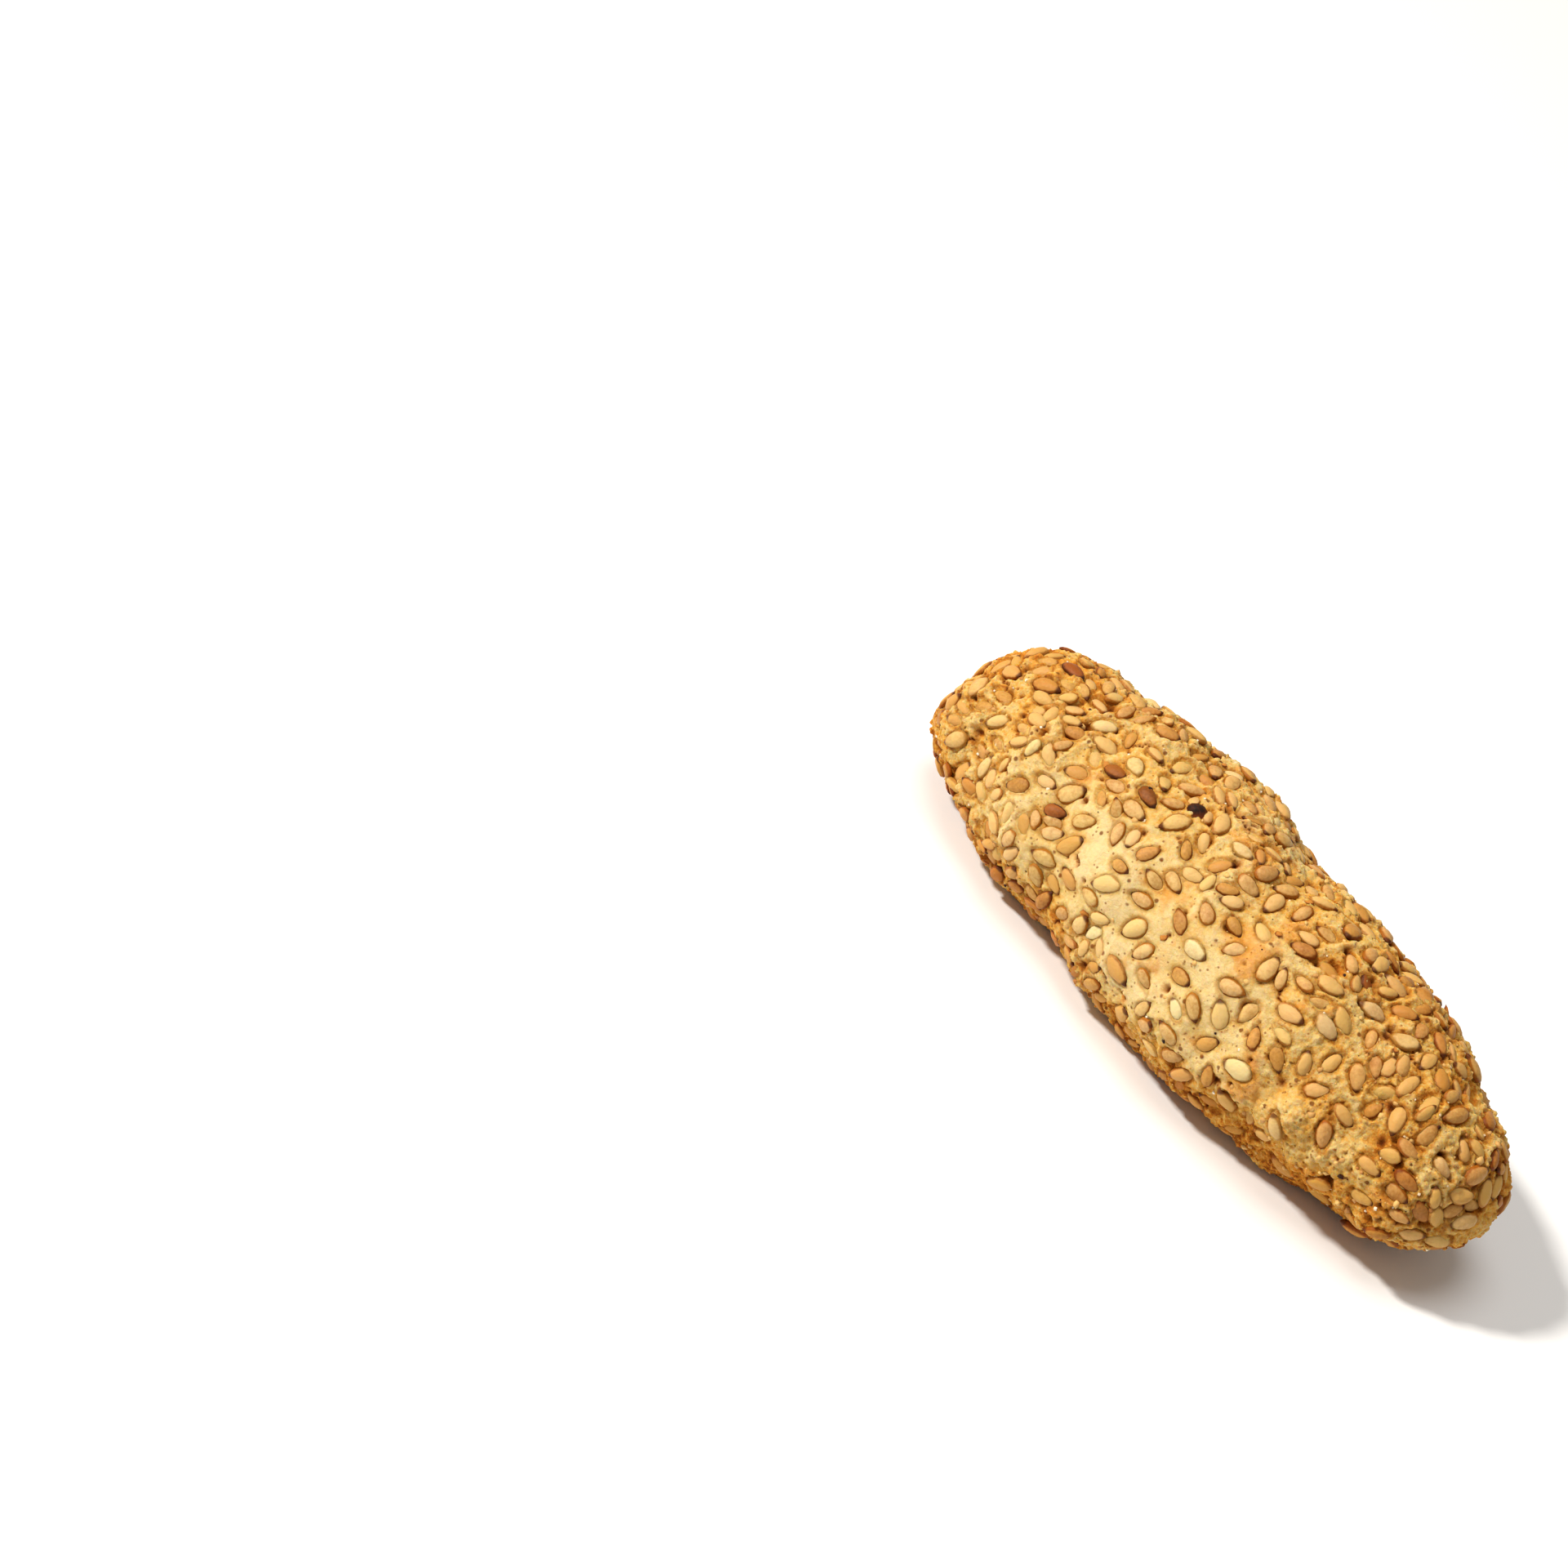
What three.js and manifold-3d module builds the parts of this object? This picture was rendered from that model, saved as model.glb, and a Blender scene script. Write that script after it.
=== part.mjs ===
// A sesame cookie: one short, thick finger of golden dough, rolled in sesame seeds before it was
// baked. It is fatter at one end, a little drawn in at the middle of its far side, and flat beneath,
// where it lay on the baking sheet.
//
// Millimetres, +Z up. The cookie lies along X, with its blunt end at -X and its tapered end at +X.
// Its seedy far flank is at +Y and its paler near face at -Y. The origin is under its middle.
import * as THREE from 'three';
import { mergeVertices } from 'three/addons/utils/BufferGeometryUtils.js';
import Module from 'manifold-3d';

const wasm = await Module();
wasm.setup();

// The whole loaf of dough.
const LENGTH = 84;
const WIDTH = 31;
const HEIGHT = 24.5;
const SEAM_HEIGHT = 9; // level above the base where the cookie is widest
const BASE_SINK = 2.8; // what the flat base takes off the round underside
const HEAD_BLUNT = 0.62; // how much fuller than an ellipse the -X end is
const TAIL_BLUNT = 0.27; // and the +X end
const CENTRE_SHIFT = { x: 0.1, y: -0.25 }; // brings the uneven shape's middle over the origin

// Places on the dough are given as mm along X and degrees round it: 0 far, 90 on top, 180 near.
const SWELLINGS = [
  { along: 4, round: 55, reach: 9, rise: -1.5 }, // the far side is drawn in at the middle
  { along: -13, round: 50, reach: 8, rise: 0.9 },
  { along: 13, round: 50, reach: 6, rise: 0.5 },
  { along: -8, round: 195, reach: 8, rise: -0.5 },
  { along: -27, round: 75, reach: 8, rise: 0.5 },
  { along: 26, round: 190, reach: 9, rise: -0.6 },
  { along: 33, round: 120, reach: 7, rise: 0.4 },
  { along: 12, round: 165, reach: 8, rise: 0.4 },
];

// Folds run across the near face, close to the tapered end, where the dough was stretched.
const FOLDS = [
  { along: 13, round: 168, reach: 3, rise: -0.55 },
  { along: 17, round: 172, reach: 3, rise: 0.5 },
  { along: 21, round: 158, reach: 3, rise: -0.6 },
  { along: 25, round: 166, reach: 3, rise: 0.5 },
  { along: 30, round: 140, reach: 3, rise: -0.6 },
  { along: 22, round: 205, reach: 3.5, rise: -0.5 },
];

// Slow unevenness all over: waves through the dough, in radians per mm, and their height.
const WAVES = [
  { x: 0.42, y: 0.25, z: 0.1, phase: 0.4, height: 0.28 },
  { x: -0.18, y: 0.55, z: 0.35, phase: 1.9, height: 0.22 },
  { x: 0.3, y: -0.35, z: 0.5, phase: 3.1, height: 0.22 },
  { x: 0.75, y: 0.3, z: -0.4, phase: 5, height: 0.14 },
];

// The mesh of the dough: facets of about the same size from end to end.
const FACETS_ALONG = 32;
const FACETS_ROUND = 28;
const EVEN_OUT = 0.19; // spreads the rings of facets from the ends towards the middle

// Sesame seeds, the largest of those on the real cookie.
const SEED_LENGTH = { least: 3.1, most: 3.9 };
const SEED_SLIMNESS = { least: 0.56, most: 0.66 }; // width as a share of length
const SEED_FLATNESS = 0.55; // thickness as a share of width
const SEED_SIDES = 6;
const SEED_RINGS = 3;
const SEED_REAR_SHIFT = 0.27; // moves the seed's fat part back from its tip, as a share of length
const SEED_GIRTH = { middle: 0.485, gain: 0.184 }; // fuller ahead of the blunt rear
const SEED_LOWEST = 1.6; // no seed is fused lower than this above the base
const SEED_BURIED = { least: -0.22, most: 0.08 }; // depth of its middle, as a share of thickness
const SEED_TILT = 9; // degrees, either way
const SEED_TRIES = 5200;
const SEED_DRAW = 41;
const SPACING_ON_FACE = 4.7; // mm from seed to seed
const SPACING_ON_FLANK = 3.9;
const FACE = { round: 152, halfRound: 40, along: -3, halfAlong: 22 }; // the sparse near face
const END_GAP = 0.985; // keeps the scatter just off the very tips
const TURN = 2 * Math.PI;

// The seeds that catch the eye on the near side. Heading is the turn of a seed's tip from +X, in
// degrees, anticlockwise as seen from outside.
const NOTABLE_SEEDS = [
  { along: -12, round: 119, heading: -12, length: 3.5 },
  { along: -11.6, round: 127.5, heading: 1, length: 3.5 },
  { along: -16, round: 113, heading: -30, length: 3.6 },
  { along: -22.6, round: 107, heading: 48, length: 3.4 },
  { along: -6.7, round: 135, heading: 70, length: 3.1 },
  { along: -10.7, round: 139, heading: -59, length: 3.2 },
  { along: -18.5, round: 141, heading: 59, length: 3.9 },
  { along: -23.2, round: 138, heading: -34, length: 3.1 },
  { along: -31, round: 95, heading: -8, length: 4 },
  { along: -31, round: 113, heading: 17, length: 4 },
  { along: 5.5, round: 158.5, heading: 5, length: 3.1 },
  { along: 4.8, round: 147, heading: 6, length: 3.4 },
  { along: -2.5, round: 135, heading: -16, length: 3.2 },
  { along: 1.2, round: 143.5, heading: 146, length: 3.1 },
  { along: 2.6, round: 134, heading: 147, length: 3.1 },
  { along: 5.6, round: 129, heading: -15, length: 3 },
  { along: -0.7, round: 106, heading: 2, length: 3.1 },
  { along: 8.9, round: 163, heading: -39, length: 3.4 },
  { along: 11.4, round: 157, heading: 133, length: 3.6 },
  { along: 16.4, round: 136.5, heading: 10, length: 3.4 },
  { along: 18.8, round: 153, heading: -39, length: 3.2 },
  { along: 32.4, round: 159, heading: -2, length: 3.1 },
  { along: 37, round: 126, heading: -4, length: 3 },
  { along: 25.4, round: 132, heading: -47, length: 3.4 },
];

/** Random numbers from 0 to 1, the same ones each time. */
function makeDraw(seed) {
  let state = seed;
  return () => {
    state = (Math.imul(state, 1664525) + 1013904223) >>> 0;
    return state / 2 ** 32;
  };
}

function between(range, share) {
  return range.least + (range.most - range.least) * share;
}

/** Where the even, unlumped loaf has its skin, `along` from -1 to 1 and `round` in radians. */
function loafPoint(along, round) {
  const blunt = 1 + (along < 0 ? HEAD_BLUNT : TAIL_BLUNT) * along ** 4;
  const girth = Math.sqrt(Math.max(0, 1 - along * along)) * blunt;
  const across = girth * Math.cos(round);
  const up = girth * Math.sin(round);
  const reach = up > 0 ? HEIGHT - SEAM_HEIGHT : SEAM_HEIGHT + BASE_SINK;
  return new THREE.Vector3(along * LENGTH / 2, across * WIDTH / 2, SEAM_HEIGHT + up * reach);
}

/** The direction straight out of the loaf there. */
function loafOutward(along, round) {
  const girth = Math.sqrt(Math.max(0, 1 - along * along));
  const out = new THREE.Vector3(
    along / LENGTH,
    girth * Math.cos(round) / WIDTH,
    girth * Math.sin(round) / HEIGHT,
  );
  return out.normalize();
}

function lumpCentre(lump) {
  return loafPoint(lump.along / (LENGTH / 2), THREE.MathUtils.degToRad(lump.round));
}

const lumps = [...SWELLINGS, ...FOLDS].map((lump) => ({ ...lump, centre: lumpCentre(lump) }));

/** How far the dough stands out from the even loaf at a point of it. */
function riseAt(point) {
  let rise = 0;
  for (const lump of lumps) {
    rise += lump.rise * Math.exp(-point.distanceToSquared(lump.centre) / lump.reach ** 2);
  }
  for (const wave of WAVES) {
    const turn = wave.x * point.x + wave.y * point.y + wave.z * point.z + wave.phase;
    rise += wave.height * Math.sin(turn);
  }
  return rise;
}

/** The skin of the dough, with its lumps and folds. */
function doughPoint(along, round) {
  const point = loafPoint(along, round);
  const rise = riseAt(point);
  point.addScaledVector(loafOutward(along, round), rise);
  point.x += CENTRE_SHIFT.x;
  point.y += CENTRE_SHIFT.y;
  return point;
}

/** A closed geometry as a solid that can be joined and cut. */
function toSolid(geometry) {
  const bare = geometry.clone();
  bare.deleteAttribute('normal');
  bare.deleteAttribute('uv');
  const merged = mergeVertices(bare, 1e-5);
  return new wasm.Manifold(new wasm.Mesh({
    numProp: 3,
    vertProperties: new Float32Array(merged.attributes.position.array),
    triVerts: new Uint32Array(merged.index.array),
  }));
}

function toGeometry(solid) {
  const mesh = solid.getMesh();
  const geometry = new THREE.BufferGeometry();
  geometry.setAttribute('position', new THREE.BufferAttribute(mesh.vertProperties, 3));
  geometry.setIndex(new THREE.BufferAttribute(mesh.triVerts, 1));
  geometry.computeVertexNormals();
  return geometry;
}

/** Joins solids two by two, so that each join stays small. */
function joinAll(solids) {
  if (solids.length === 1) {
    return solids[0];
  }
  const half = Math.ceil(solids.length / 2);
  return joinAll(solids.slice(0, half)).add(joinAll(solids.slice(half)));
}

/** A round ball of facets drawn out into the dough, then cut flat beneath. */
function makeDough() {
  const ball = new THREE.SphereGeometry(1, FACETS_ROUND, FACETS_ALONG);
  const place = ball.attributes.position;
  for (let i = 0; i < place.count; i += 1) {
    const polar = Math.acos(THREE.MathUtils.clamp(place.getY(i), -1, 1));
    const along = Math.cos(polar + EVEN_OUT * Math.sin(2 * polar));
    const round = Math.atan2(place.getX(i), place.getZ(i));
    const point = doughPoint(along, round);
    place.setXYZ(i, point.x, point.y, point.z);
  }
  const sheet = new THREE.BoxGeometry(2 * LENGTH, 2 * WIDTH, HEIGHT);
  sheet.translate(0, 0, -HEIGHT / 2);
  return toSolid(ball).subtract(toSolid(sheet));
}

/** One sesame seed of unit length, width and thickness: a teardrop along X with its tip at +X. */
function makeSeedShape() {
  const shape = new THREE.SphereGeometry(1, SEED_SIDES, SEED_RINGS);
  const place = shape.attributes.position;
  for (let i = 0; i < place.count; i += 1) {
    const pole = place.getY(i);
    const forward = pole / 2 - SEED_REAR_SHIFT * (1 - pole * pole);
    const girth = SEED_GIRTH.middle + SEED_GIRTH.gain * pole;
    place.setXYZ(i, forward, place.getX(i) * girth, -place.getZ(i) * girth);
  }
  return shape;
}

/** 1 on the sparsely seeded near face, 0 on the flanks and the ends. */
function faceShare(along, round) {
  const beside = (THREE.MathUtils.radToDeg(round) - FACE.round) / FACE.halfRound;
  const lengthwise = (along * LENGTH / 2 - FACE.along) / FACE.halfAlong;
  return Math.exp(-(beside ** 2) - lengthwise ** 4);
}

/** A place on the dough with the directions along, across and out of its skin. */
function skinAt(along, round) {
  const step = 0.004;
  const point = doughPoint(along, round);
  const ahead = doughPoint(along + step, round).sub(doughPoint(along - step, round)).normalize();
  const aside = doughPoint(along, round + step).sub(doughPoint(along, round - step)).normalize();
  const out = new THREE.Vector3().crossVectors(aside, ahead).normalize();
  return { point, ahead, out };
}

/** Draws one seed at random; every seed takes the same number of draws, kept or not. */
function drawSeed(draw) {
  const along = END_GAP * (2 * draw() - 1);
  const round = TURN * draw();
  const heading = TURN * draw();
  const length = between(SEED_LENGTH, draw());
  const width = length * between(SEED_SLIMNESS, draw());
  const buried = between(SEED_BURIED, draw());
  const tilt = THREE.MathUtils.degToRad(SEED_TILT * (2 * draw() - 1));
  return { along, round, heading, length, width, buried, tilt };
}

/** Lays the seed on the dough: its middle, and its three directions. */
function laySeed(seed) {
  const skin = skinAt(seed.along, seed.round);
  const thickness = seed.width * SEED_FLATNESS;
  const forward = skin.ahead.clone().applyAxisAngle(skin.out, seed.heading);
  const sideways = new THREE.Vector3().crossVectors(skin.out, forward);
  forward.applyAxisAngle(sideways, seed.tilt);
  const upward = new THREE.Vector3().crossVectors(forward, sideways);
  const middle = skin.point.clone().addScaledVector(skin.out, -seed.buried * thickness);
  return { ...seed, thickness, forward, sideways, upward, middle };
}

/** True where the seed touches none of those already laid. */
function hasRoom(seed, others) {
  const face = faceShare(seed.along, seed.round);
  const spacing = SPACING_ON_FLANK + (SPACING_ON_FACE - SPACING_ON_FLANK) * face;
  return others.every((other) => other.middle.distanceTo(seed.middle) > spacing);
}

/** A notable seed in the words that laySeed reads, lying level and half sunk. */
function describeNotable(notable) {
  return {
    along: notable.along / (LENGTH / 2),
    round: THREE.MathUtils.degToRad(notable.round),
    heading: THREE.MathUtils.degToRad(notable.heading),
    length: notable.length,
    width: notable.length * between(SEED_SLIMNESS, 0.5),
    buried: between(SEED_BURIED, 0.5),
    tilt: 0,
  };
}

/** The notable seeds, then others scattered at random but never closer than their spacing. */
function scatterSeeds() {
  const draw = makeDraw(SEED_DRAW);
  const laid = NOTABLE_SEEDS.map((notable) => laySeed(describeNotable(notable)));
  for (let i = 0; i < SEED_TRIES; i += 1) {
    const seed = laySeed(drawSeed(draw));
    if (seed.middle.z > SEED_LOWEST + seed.thickness && hasRoom(seed, laid)) {
      laid.push(seed);
    }
  }
  return laid;
}

function makeSeed(shape, seed) {
  const turn = new THREE.Matrix4().makeBasis(seed.forward, seed.sideways, seed.upward);
  const geometry = shape.clone();
  geometry.scale(seed.length, seed.width, seed.thickness);
  geometry.applyMatrix4(turn);
  geometry.translate(seed.middle.x, seed.middle.y, seed.middle.z);
  return toSolid(geometry);
}

/** The whole cookie: dough and seeds in one solid. */
function makeCookie() {
  const shape = makeSeedShape();
  const seeds = scatterSeeds().map((seed) => makeSeed(shape, seed));
  const crust = new THREE.MeshStandardMaterial({ color: 0xd9a765, roughness: 0.85, metalness: 0 });
  const cookie = new THREE.Mesh(toGeometry(makeDough().add(joinAll(seeds))), crust);
  cookie.name = 'cookie';
  return cookie;
}

const group = new THREE.Group();
group.add(makeCookie());

export default group;
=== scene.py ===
# %% [markdown]
# # A sesame cookie
#
# The real thing is a short, thick finger of golden dough, rolled in sesame seeds and baked on a
# sheet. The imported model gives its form: one solid with the largest seeds on it. This lesson builds
# the skin that the eye sees: open, crumbly dough, about seven hundred seeds that each sit in a
# hollow of their own, crumbs, and the uneven tan that an oven gives.

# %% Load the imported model
import math

import bpy
import numpy as np
from mathutils import Matrix, Vector, kdtree, noise
from mathutils.bvhtree import BVHTree


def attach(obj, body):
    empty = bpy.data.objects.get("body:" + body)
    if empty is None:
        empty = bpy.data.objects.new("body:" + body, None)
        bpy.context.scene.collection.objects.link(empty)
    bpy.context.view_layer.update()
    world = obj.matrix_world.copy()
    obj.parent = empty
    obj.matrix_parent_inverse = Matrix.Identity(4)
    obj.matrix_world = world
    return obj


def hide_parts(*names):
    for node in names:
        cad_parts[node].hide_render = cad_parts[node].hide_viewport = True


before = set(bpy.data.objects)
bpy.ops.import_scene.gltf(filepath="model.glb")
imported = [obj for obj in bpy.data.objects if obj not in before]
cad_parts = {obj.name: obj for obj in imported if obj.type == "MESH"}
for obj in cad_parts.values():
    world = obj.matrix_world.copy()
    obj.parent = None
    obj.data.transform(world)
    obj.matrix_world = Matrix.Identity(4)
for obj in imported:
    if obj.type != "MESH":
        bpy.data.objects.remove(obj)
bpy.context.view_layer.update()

bpy.ops.object.select_all(action="DESELECT")

# %% [markdown]
# ## The camera
#
# The camera comes first, because it decides which side has to look best. The photograph was taken
# from above the cookie's near side, a little from its tapered end, and the cookie lies aslant at
# the lower right of the picture. Rather than turning the cookie, the camera is turned about its own
# line of sight, until the cookie's long axis runs down to the right as it does in the photograph.

# %% Camera at the photograph's viewing angle
CAMERA_PLACE = (0.1175, -0.2519, 0.2120)
CAMERA_AZIMUTH = math.radians(35.20)
CAMERA_ELEVATION = math.radians(37.42)
CAMERA_ROLL = math.radians(26.39)
CAMERA_LENS = 72.36

turn_about = Matrix.Rotation(CAMERA_AZIMUTH, 4, "Z")
turn_up = Matrix.Rotation(math.pi / 2 - CAMERA_ELEVATION, 4, "X")
turn_aslant = Matrix.Rotation(CAMERA_ROLL, 4, "Z")
bpy.ops.object.camera_add()
camera = bpy.context.object
camera.name = "camera"
camera.data.sensor_width = 36
camera.data.lens = CAMERA_LENS
camera.data.clip_start = 0.01
camera.matrix_world = Matrix.Translation(CAMERA_PLACE) @ turn_about @ turn_up @ turn_aslant
bpy.context.scene.camera = camera
print("camera to cookie in mm:", round(Vector(CAMERA_PLACE).length * 1000))

# %% [markdown]
# ## Light and floor
#
# A white floor under soft studio light. One lamp stands to the upper left of the picture, so that
# every seed throws a small shadow to its lower right. It isn't large, because the seeds are so
# small that only crisp shadows show their edges. A wide lamp overhead and a warm surrounding keep
# the shadows open and golden.

# %% Floor, lamps and surroundings
FLOOR_SIZE = 6
FLOOR_GREY = (0.93, 0.93, 0.93, 1)
LAMP_AIM = Vector((0, 0, 0.010))


def add_floor():
    bpy.ops.mesh.primitive_plane_add(size=FLOOR_SIZE, location=(0, 0, 0))
    floor = bpy.context.object
    floor.name = "floor"
    material = bpy.data.materials.new("white floor")
    material.use_nodes = True
    shader = material.node_tree.nodes["Principled BSDF"]
    shader.inputs["Base Color"].default_value = FLOOR_GREY
    shader.inputs["Roughness"].default_value = 0.6
    floor.data.materials.append(material)


def add_lamp(name, place, size, power, colour):
    bpy.ops.object.light_add(type="AREA", location=place)
    lamp = bpy.context.object
    lamp.name = name
    lamp.data.shape = "DISK"
    lamp.data.size = size
    lamp.data.energy = power
    lamp.data.color = colour
    lamp.rotation_euler = (Vector(place) - LAMP_AIM).to_track_quat("Z", "Y").to_euler()


add_floor()
add_lamp("key lamp", (-0.62, -0.55, 0.82), 0.13, 14.0, (1.0, 0.96, 0.90))
add_lamp("overhead lamp", (-0.20, -0.10, 1.20), 0.70, 5.6, (1.0, 1.0, 1.0))
surround = bpy.data.worlds.new("surround")
surround.use_nodes = True
surround.node_tree.nodes["Background"].inputs["Color"].default_value = (1, 0.93, 0.83, 1)
surround.node_tree.nodes["Background"].inputs["Strength"].default_value = 0.31
bpy.context.scene.world = surround
bpy.context.scene.view_settings.view_transform = "Standard"

# %% [markdown]
# ## The form of the dough
#
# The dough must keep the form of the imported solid, so the same formula makes both. A place on the
# skin is named by two numbers: how far along the cookie it lies, from -1 to 1, and the turn round
# it, 0 at the far side and a quarter turn on top. The formula starts from an even loaf and lifts or
# sinks it by some broad swellings, a few folds and slow waves. Lengths here are in millimetres.

# %% Driving sizes, in millimetres
MM = 0.001
LENGTH = 84.0
WIDTH = 31.0
HEIGHT = 24.5
SEAM_HEIGHT = 9.0
BASE_SINK = 2.8
HALF_LENGTH, HALF_WIDTH = LENGTH / 2, WIDTH / 2
REACH_UP, REACH_DOWN = HEIGHT - SEAM_HEIGHT, SEAM_HEIGHT + BASE_SINK
HEAD_BLUNT = 0.62
TAIL_BLUNT = 0.27
CENTRE_SHIFT = (0.1, -0.25)

# Each lump: mm along, degrees round, reach and rise in mm.
SWELLINGS = [
    (4, 55, 9, -1.5), (-13, 50, 8, 0.9), (13, 50, 6, 0.5), (-8, 195, 8, -0.5),
    (-27, 75, 8, 0.5), (26, 190, 9, -0.6), (33, 120, 7, 0.4), (12, 165, 8, 0.4),
]
FOLDS = [
    (13, 168, 3, -0.55), (17, 172, 3, 0.5), (21, 158, 3, -0.6),
    (25, 166, 3, 0.5), (30, 140, 3, -0.6), (22, 205, 3.5, -0.5),
]
# Each wave: radians per mm along x, y and z, then its phase and height in mm.
WAVES = [
    (0.42, 0.25, 0.1, 0.4, 0.28), (-0.18, 0.55, 0.35, 1.9, 0.22),
    (0.3, -0.35, 0.5, 3.1, 0.22), (0.75, 0.3, -0.4, 5.0, 0.14),
]


# %% The loaf and its lumps
def girth_at(along):
    """How full the loaf is: 1 in its middle, 0 at its ends, with the ends blunted."""
    blunt = 1 + np.where(along < 0, HEAD_BLUNT, TAIL_BLUNT) * along**4
    return np.sqrt(np.maximum(0, 1 - along**2)) * blunt


def loaf_points(along, turn):
    """Where the even loaf has its skin."""
    girth = girth_at(along)
    across, up = girth * np.cos(turn), girth * np.sin(turn)
    reach = np.where(up > 0, REACH_UP, REACH_DOWN)
    return np.stack([along * HALF_LENGTH, across * HALF_WIDTH, SEAM_HEIGHT + up * reach], axis=-1)


def unit(vectors):
    return vectors / np.linalg.norm(vectors, axis=-1, keepdims=True)


def loaf_outward(along, turn):
    girth = np.sqrt(np.maximum(0, 1 - along**2))
    across, up = girth * np.cos(turn), girth * np.sin(turn)
    return unit(np.stack([along / LENGTH, across / WIDTH, up / HEIGHT], axis=-1))


def named_place(mm_along, around):
    """Along and turn of a place given in mm along the cookie and degrees round it."""
    return np.asarray(mm_along) / HALF_LENGTH, np.radians(around)


def rise_at(points):
    """How far the dough stands out from the even loaf."""
    rise = np.zeros(points.shape[:-1])
    for mm_along, around, reach, height in SWELLINGS + FOLDS:
        centre = loaf_points(*named_place(mm_along, around))
        rise += height * np.exp(-((points - centre) ** 2).sum(axis=-1) / reach**2)
    for x, y, z, phase, height in WAVES:
        rise += height * np.sin(points @ np.array([x, y, z]) + phase)
    return rise


def dough_points(along, turn):
    """The skin of the dough, with its lumps and folds."""
    points = loaf_points(along, turn)
    lifted = points + loaf_outward(along, turn) * rise_at(points)[..., None]
    return lifted + np.array([*CENTRE_SHIFT, 0])


# %% [markdown]
# ## Where the seeds lie
#
# Seeds that are strewn by hand lie at random, yet hardly ever on top of each other. Throwing darts
# gives just that: a place is drawn at random and kept only if it is far enough from the seeds that
# already lie. The first throw repeats the seeds of the solid, draw by draw, and the second fills
# the gaps between them with the smaller seeds. A few seeds that catch the eye are listed one by one.

# %% Random numbers that are the same each time
END_GAP = 0.985


def make_draw(seed):
    state = seed

    def draw():
        nonlocal state
        state = (state * 1664525 + 1013904223) % 2**32
        return state / 2**32

    return draw


def draw_table(seed, rows, columns):
    draw = make_draw(seed)
    return np.array([draw() for _ in range(rows * columns)]).reshape(rows, columns)


def between(least, most, share):
    return least + (most - least) * share


def drawn_place(first, second):
    """Along and turn from two random numbers, short of the very ends."""
    return END_GAP * (2 * first - 1), 2 * math.pi * second


# %% A seed's place and its three directions
SLOPE_STEP = 0.004


def turned(vectors, axes, angles):
    """Vectors turned about unit axes that are square to them."""
    cosine, sine = np.cos(angles)[:, None], np.sin(angles)[:, None]
    return vectors * cosine + np.cross(axes, vectors) * sine


def lay_seeds(along, turn, heading, length, width, buried, tilt, flatness=0.55):
    """Lays seeds on the dough: middles, directions and sizes, in mm.

    The slope of the dough is felt by a small step to either side.
    """
    points = dough_points(along, turn)
    ahead = unit(dough_points(along + SLOPE_STEP, turn) - dough_points(along - SLOPE_STEP, turn))
    aside = unit(dough_points(along, turn + SLOPE_STEP) - dough_points(along, turn - SLOPE_STEP))
    out = unit(np.cross(aside, ahead))
    forward = turned(ahead, out, heading)
    sideways = unit(np.cross(out, forward))
    forward = turned(forward, sideways, tilt)
    thickness = width * flatness
    return {
        "middle": points - out * (buried * thickness)[:, None],
        "forward": forward,
        "sideways": sideways,
        "upward": np.cross(forward, sideways),
        "size": np.stack([length, width, thickness], axis=-1),
        "sunk": buried * thickness,
        "along": along,
        "turn": turn,
    }


def pick(seeds, rows):
    return {name: values[rows] for name, values in seeds.items()}


def join(first, second):
    return {name: np.concatenate([first[name], second[name]]) for name in first}


# %% [markdown]
# The near face of the cookie has fewer seeds than its flanks and ends, so the spacing of the darts
# follows a soft mask: 1 in the middle of the near face and 0 away from it.

# %% The sparse near face
FACE_TURN, FACE_HALF_TURN = 152, 40
FACE_ALONG, FACE_HALF_ALONG = -3, 22


def face_share(along, turn):
    beside = (np.degrees(turn) - FACE_TURN) / FACE_HALF_TURN
    lengthwise = (along * HALF_LENGTH - FACE_ALONG) / FACE_HALF_ALONG
    return np.exp(-(beside**2) - lengthwise**4)


# %% The seeds listed one by one: mm along, degrees round, heading of the tip, length in mm and kind
NOTABLE_SEEDS = [
    (-12, 119, -12, 3.5, "dark"), (-11.6, 127.5, 1, 3.5, "straw"),
    (-16, 113, -30, 3.6, "white"), (-22.6, 107, 48, 3.4, "white"),
    (-6.7, 135, 70, 3.1, "toasted"), (-10.7, 139, -59, 3.2, "straw"),
    (-18.5, 141, 59, 3.9, "straw"), (-23.2, 138, -34, 3.1, "straw"),
    (-31, 95, -8, 4.0, "dark"), (-31, 113, 17, 4.0, "toasted"),
    (5.5, 158.5, 5, 3.1, "toasted"), (4.8, 147, 6, 3.4, "white"),
    (-2.5, 135, -16, 3.2, "straw"), (1.2, 143.5, 146, 3.1, "toasted"),
    (2.6, 134, 147, 3.1, "straw"), (5.6, 129, -15, 3.0, "toasted"),
    (-0.7, 106, 2, 3.1, "white"), (8.9, 163, -39, 3.4, "straw"),
    (11.4, 157, 133, 3.6, "straw"), (16.4, 136.5, 10, 3.4, "straw"),
    (18.8, 153, -39, 3.2, "toasted"), (32.4, 159, -2, 3.1, "straw"),
    (37, 126, -4, 3.0, "white"), (25.4, 132, -47, 3.4, "straw"),
]
SEED_LENGTH = (3.1, 3.9)
SEED_SLIMNESS = (0.56, 0.66)
SEED_BURIED = (-0.22, 0.08)
SEED_TILT = math.radians(9)

mm_along, around, heading, length = np.array([row[:4] for row in NOTABLE_SEEDS]).T
notable = lay_seeds(
    *named_place(mm_along, around), np.radians(heading),
    length, length * between(*SEED_SLIMNESS, 0.5),
    np.full(len(length), between(*SEED_BURIED, 0.5)), np.zeros(len(length)),
)

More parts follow.
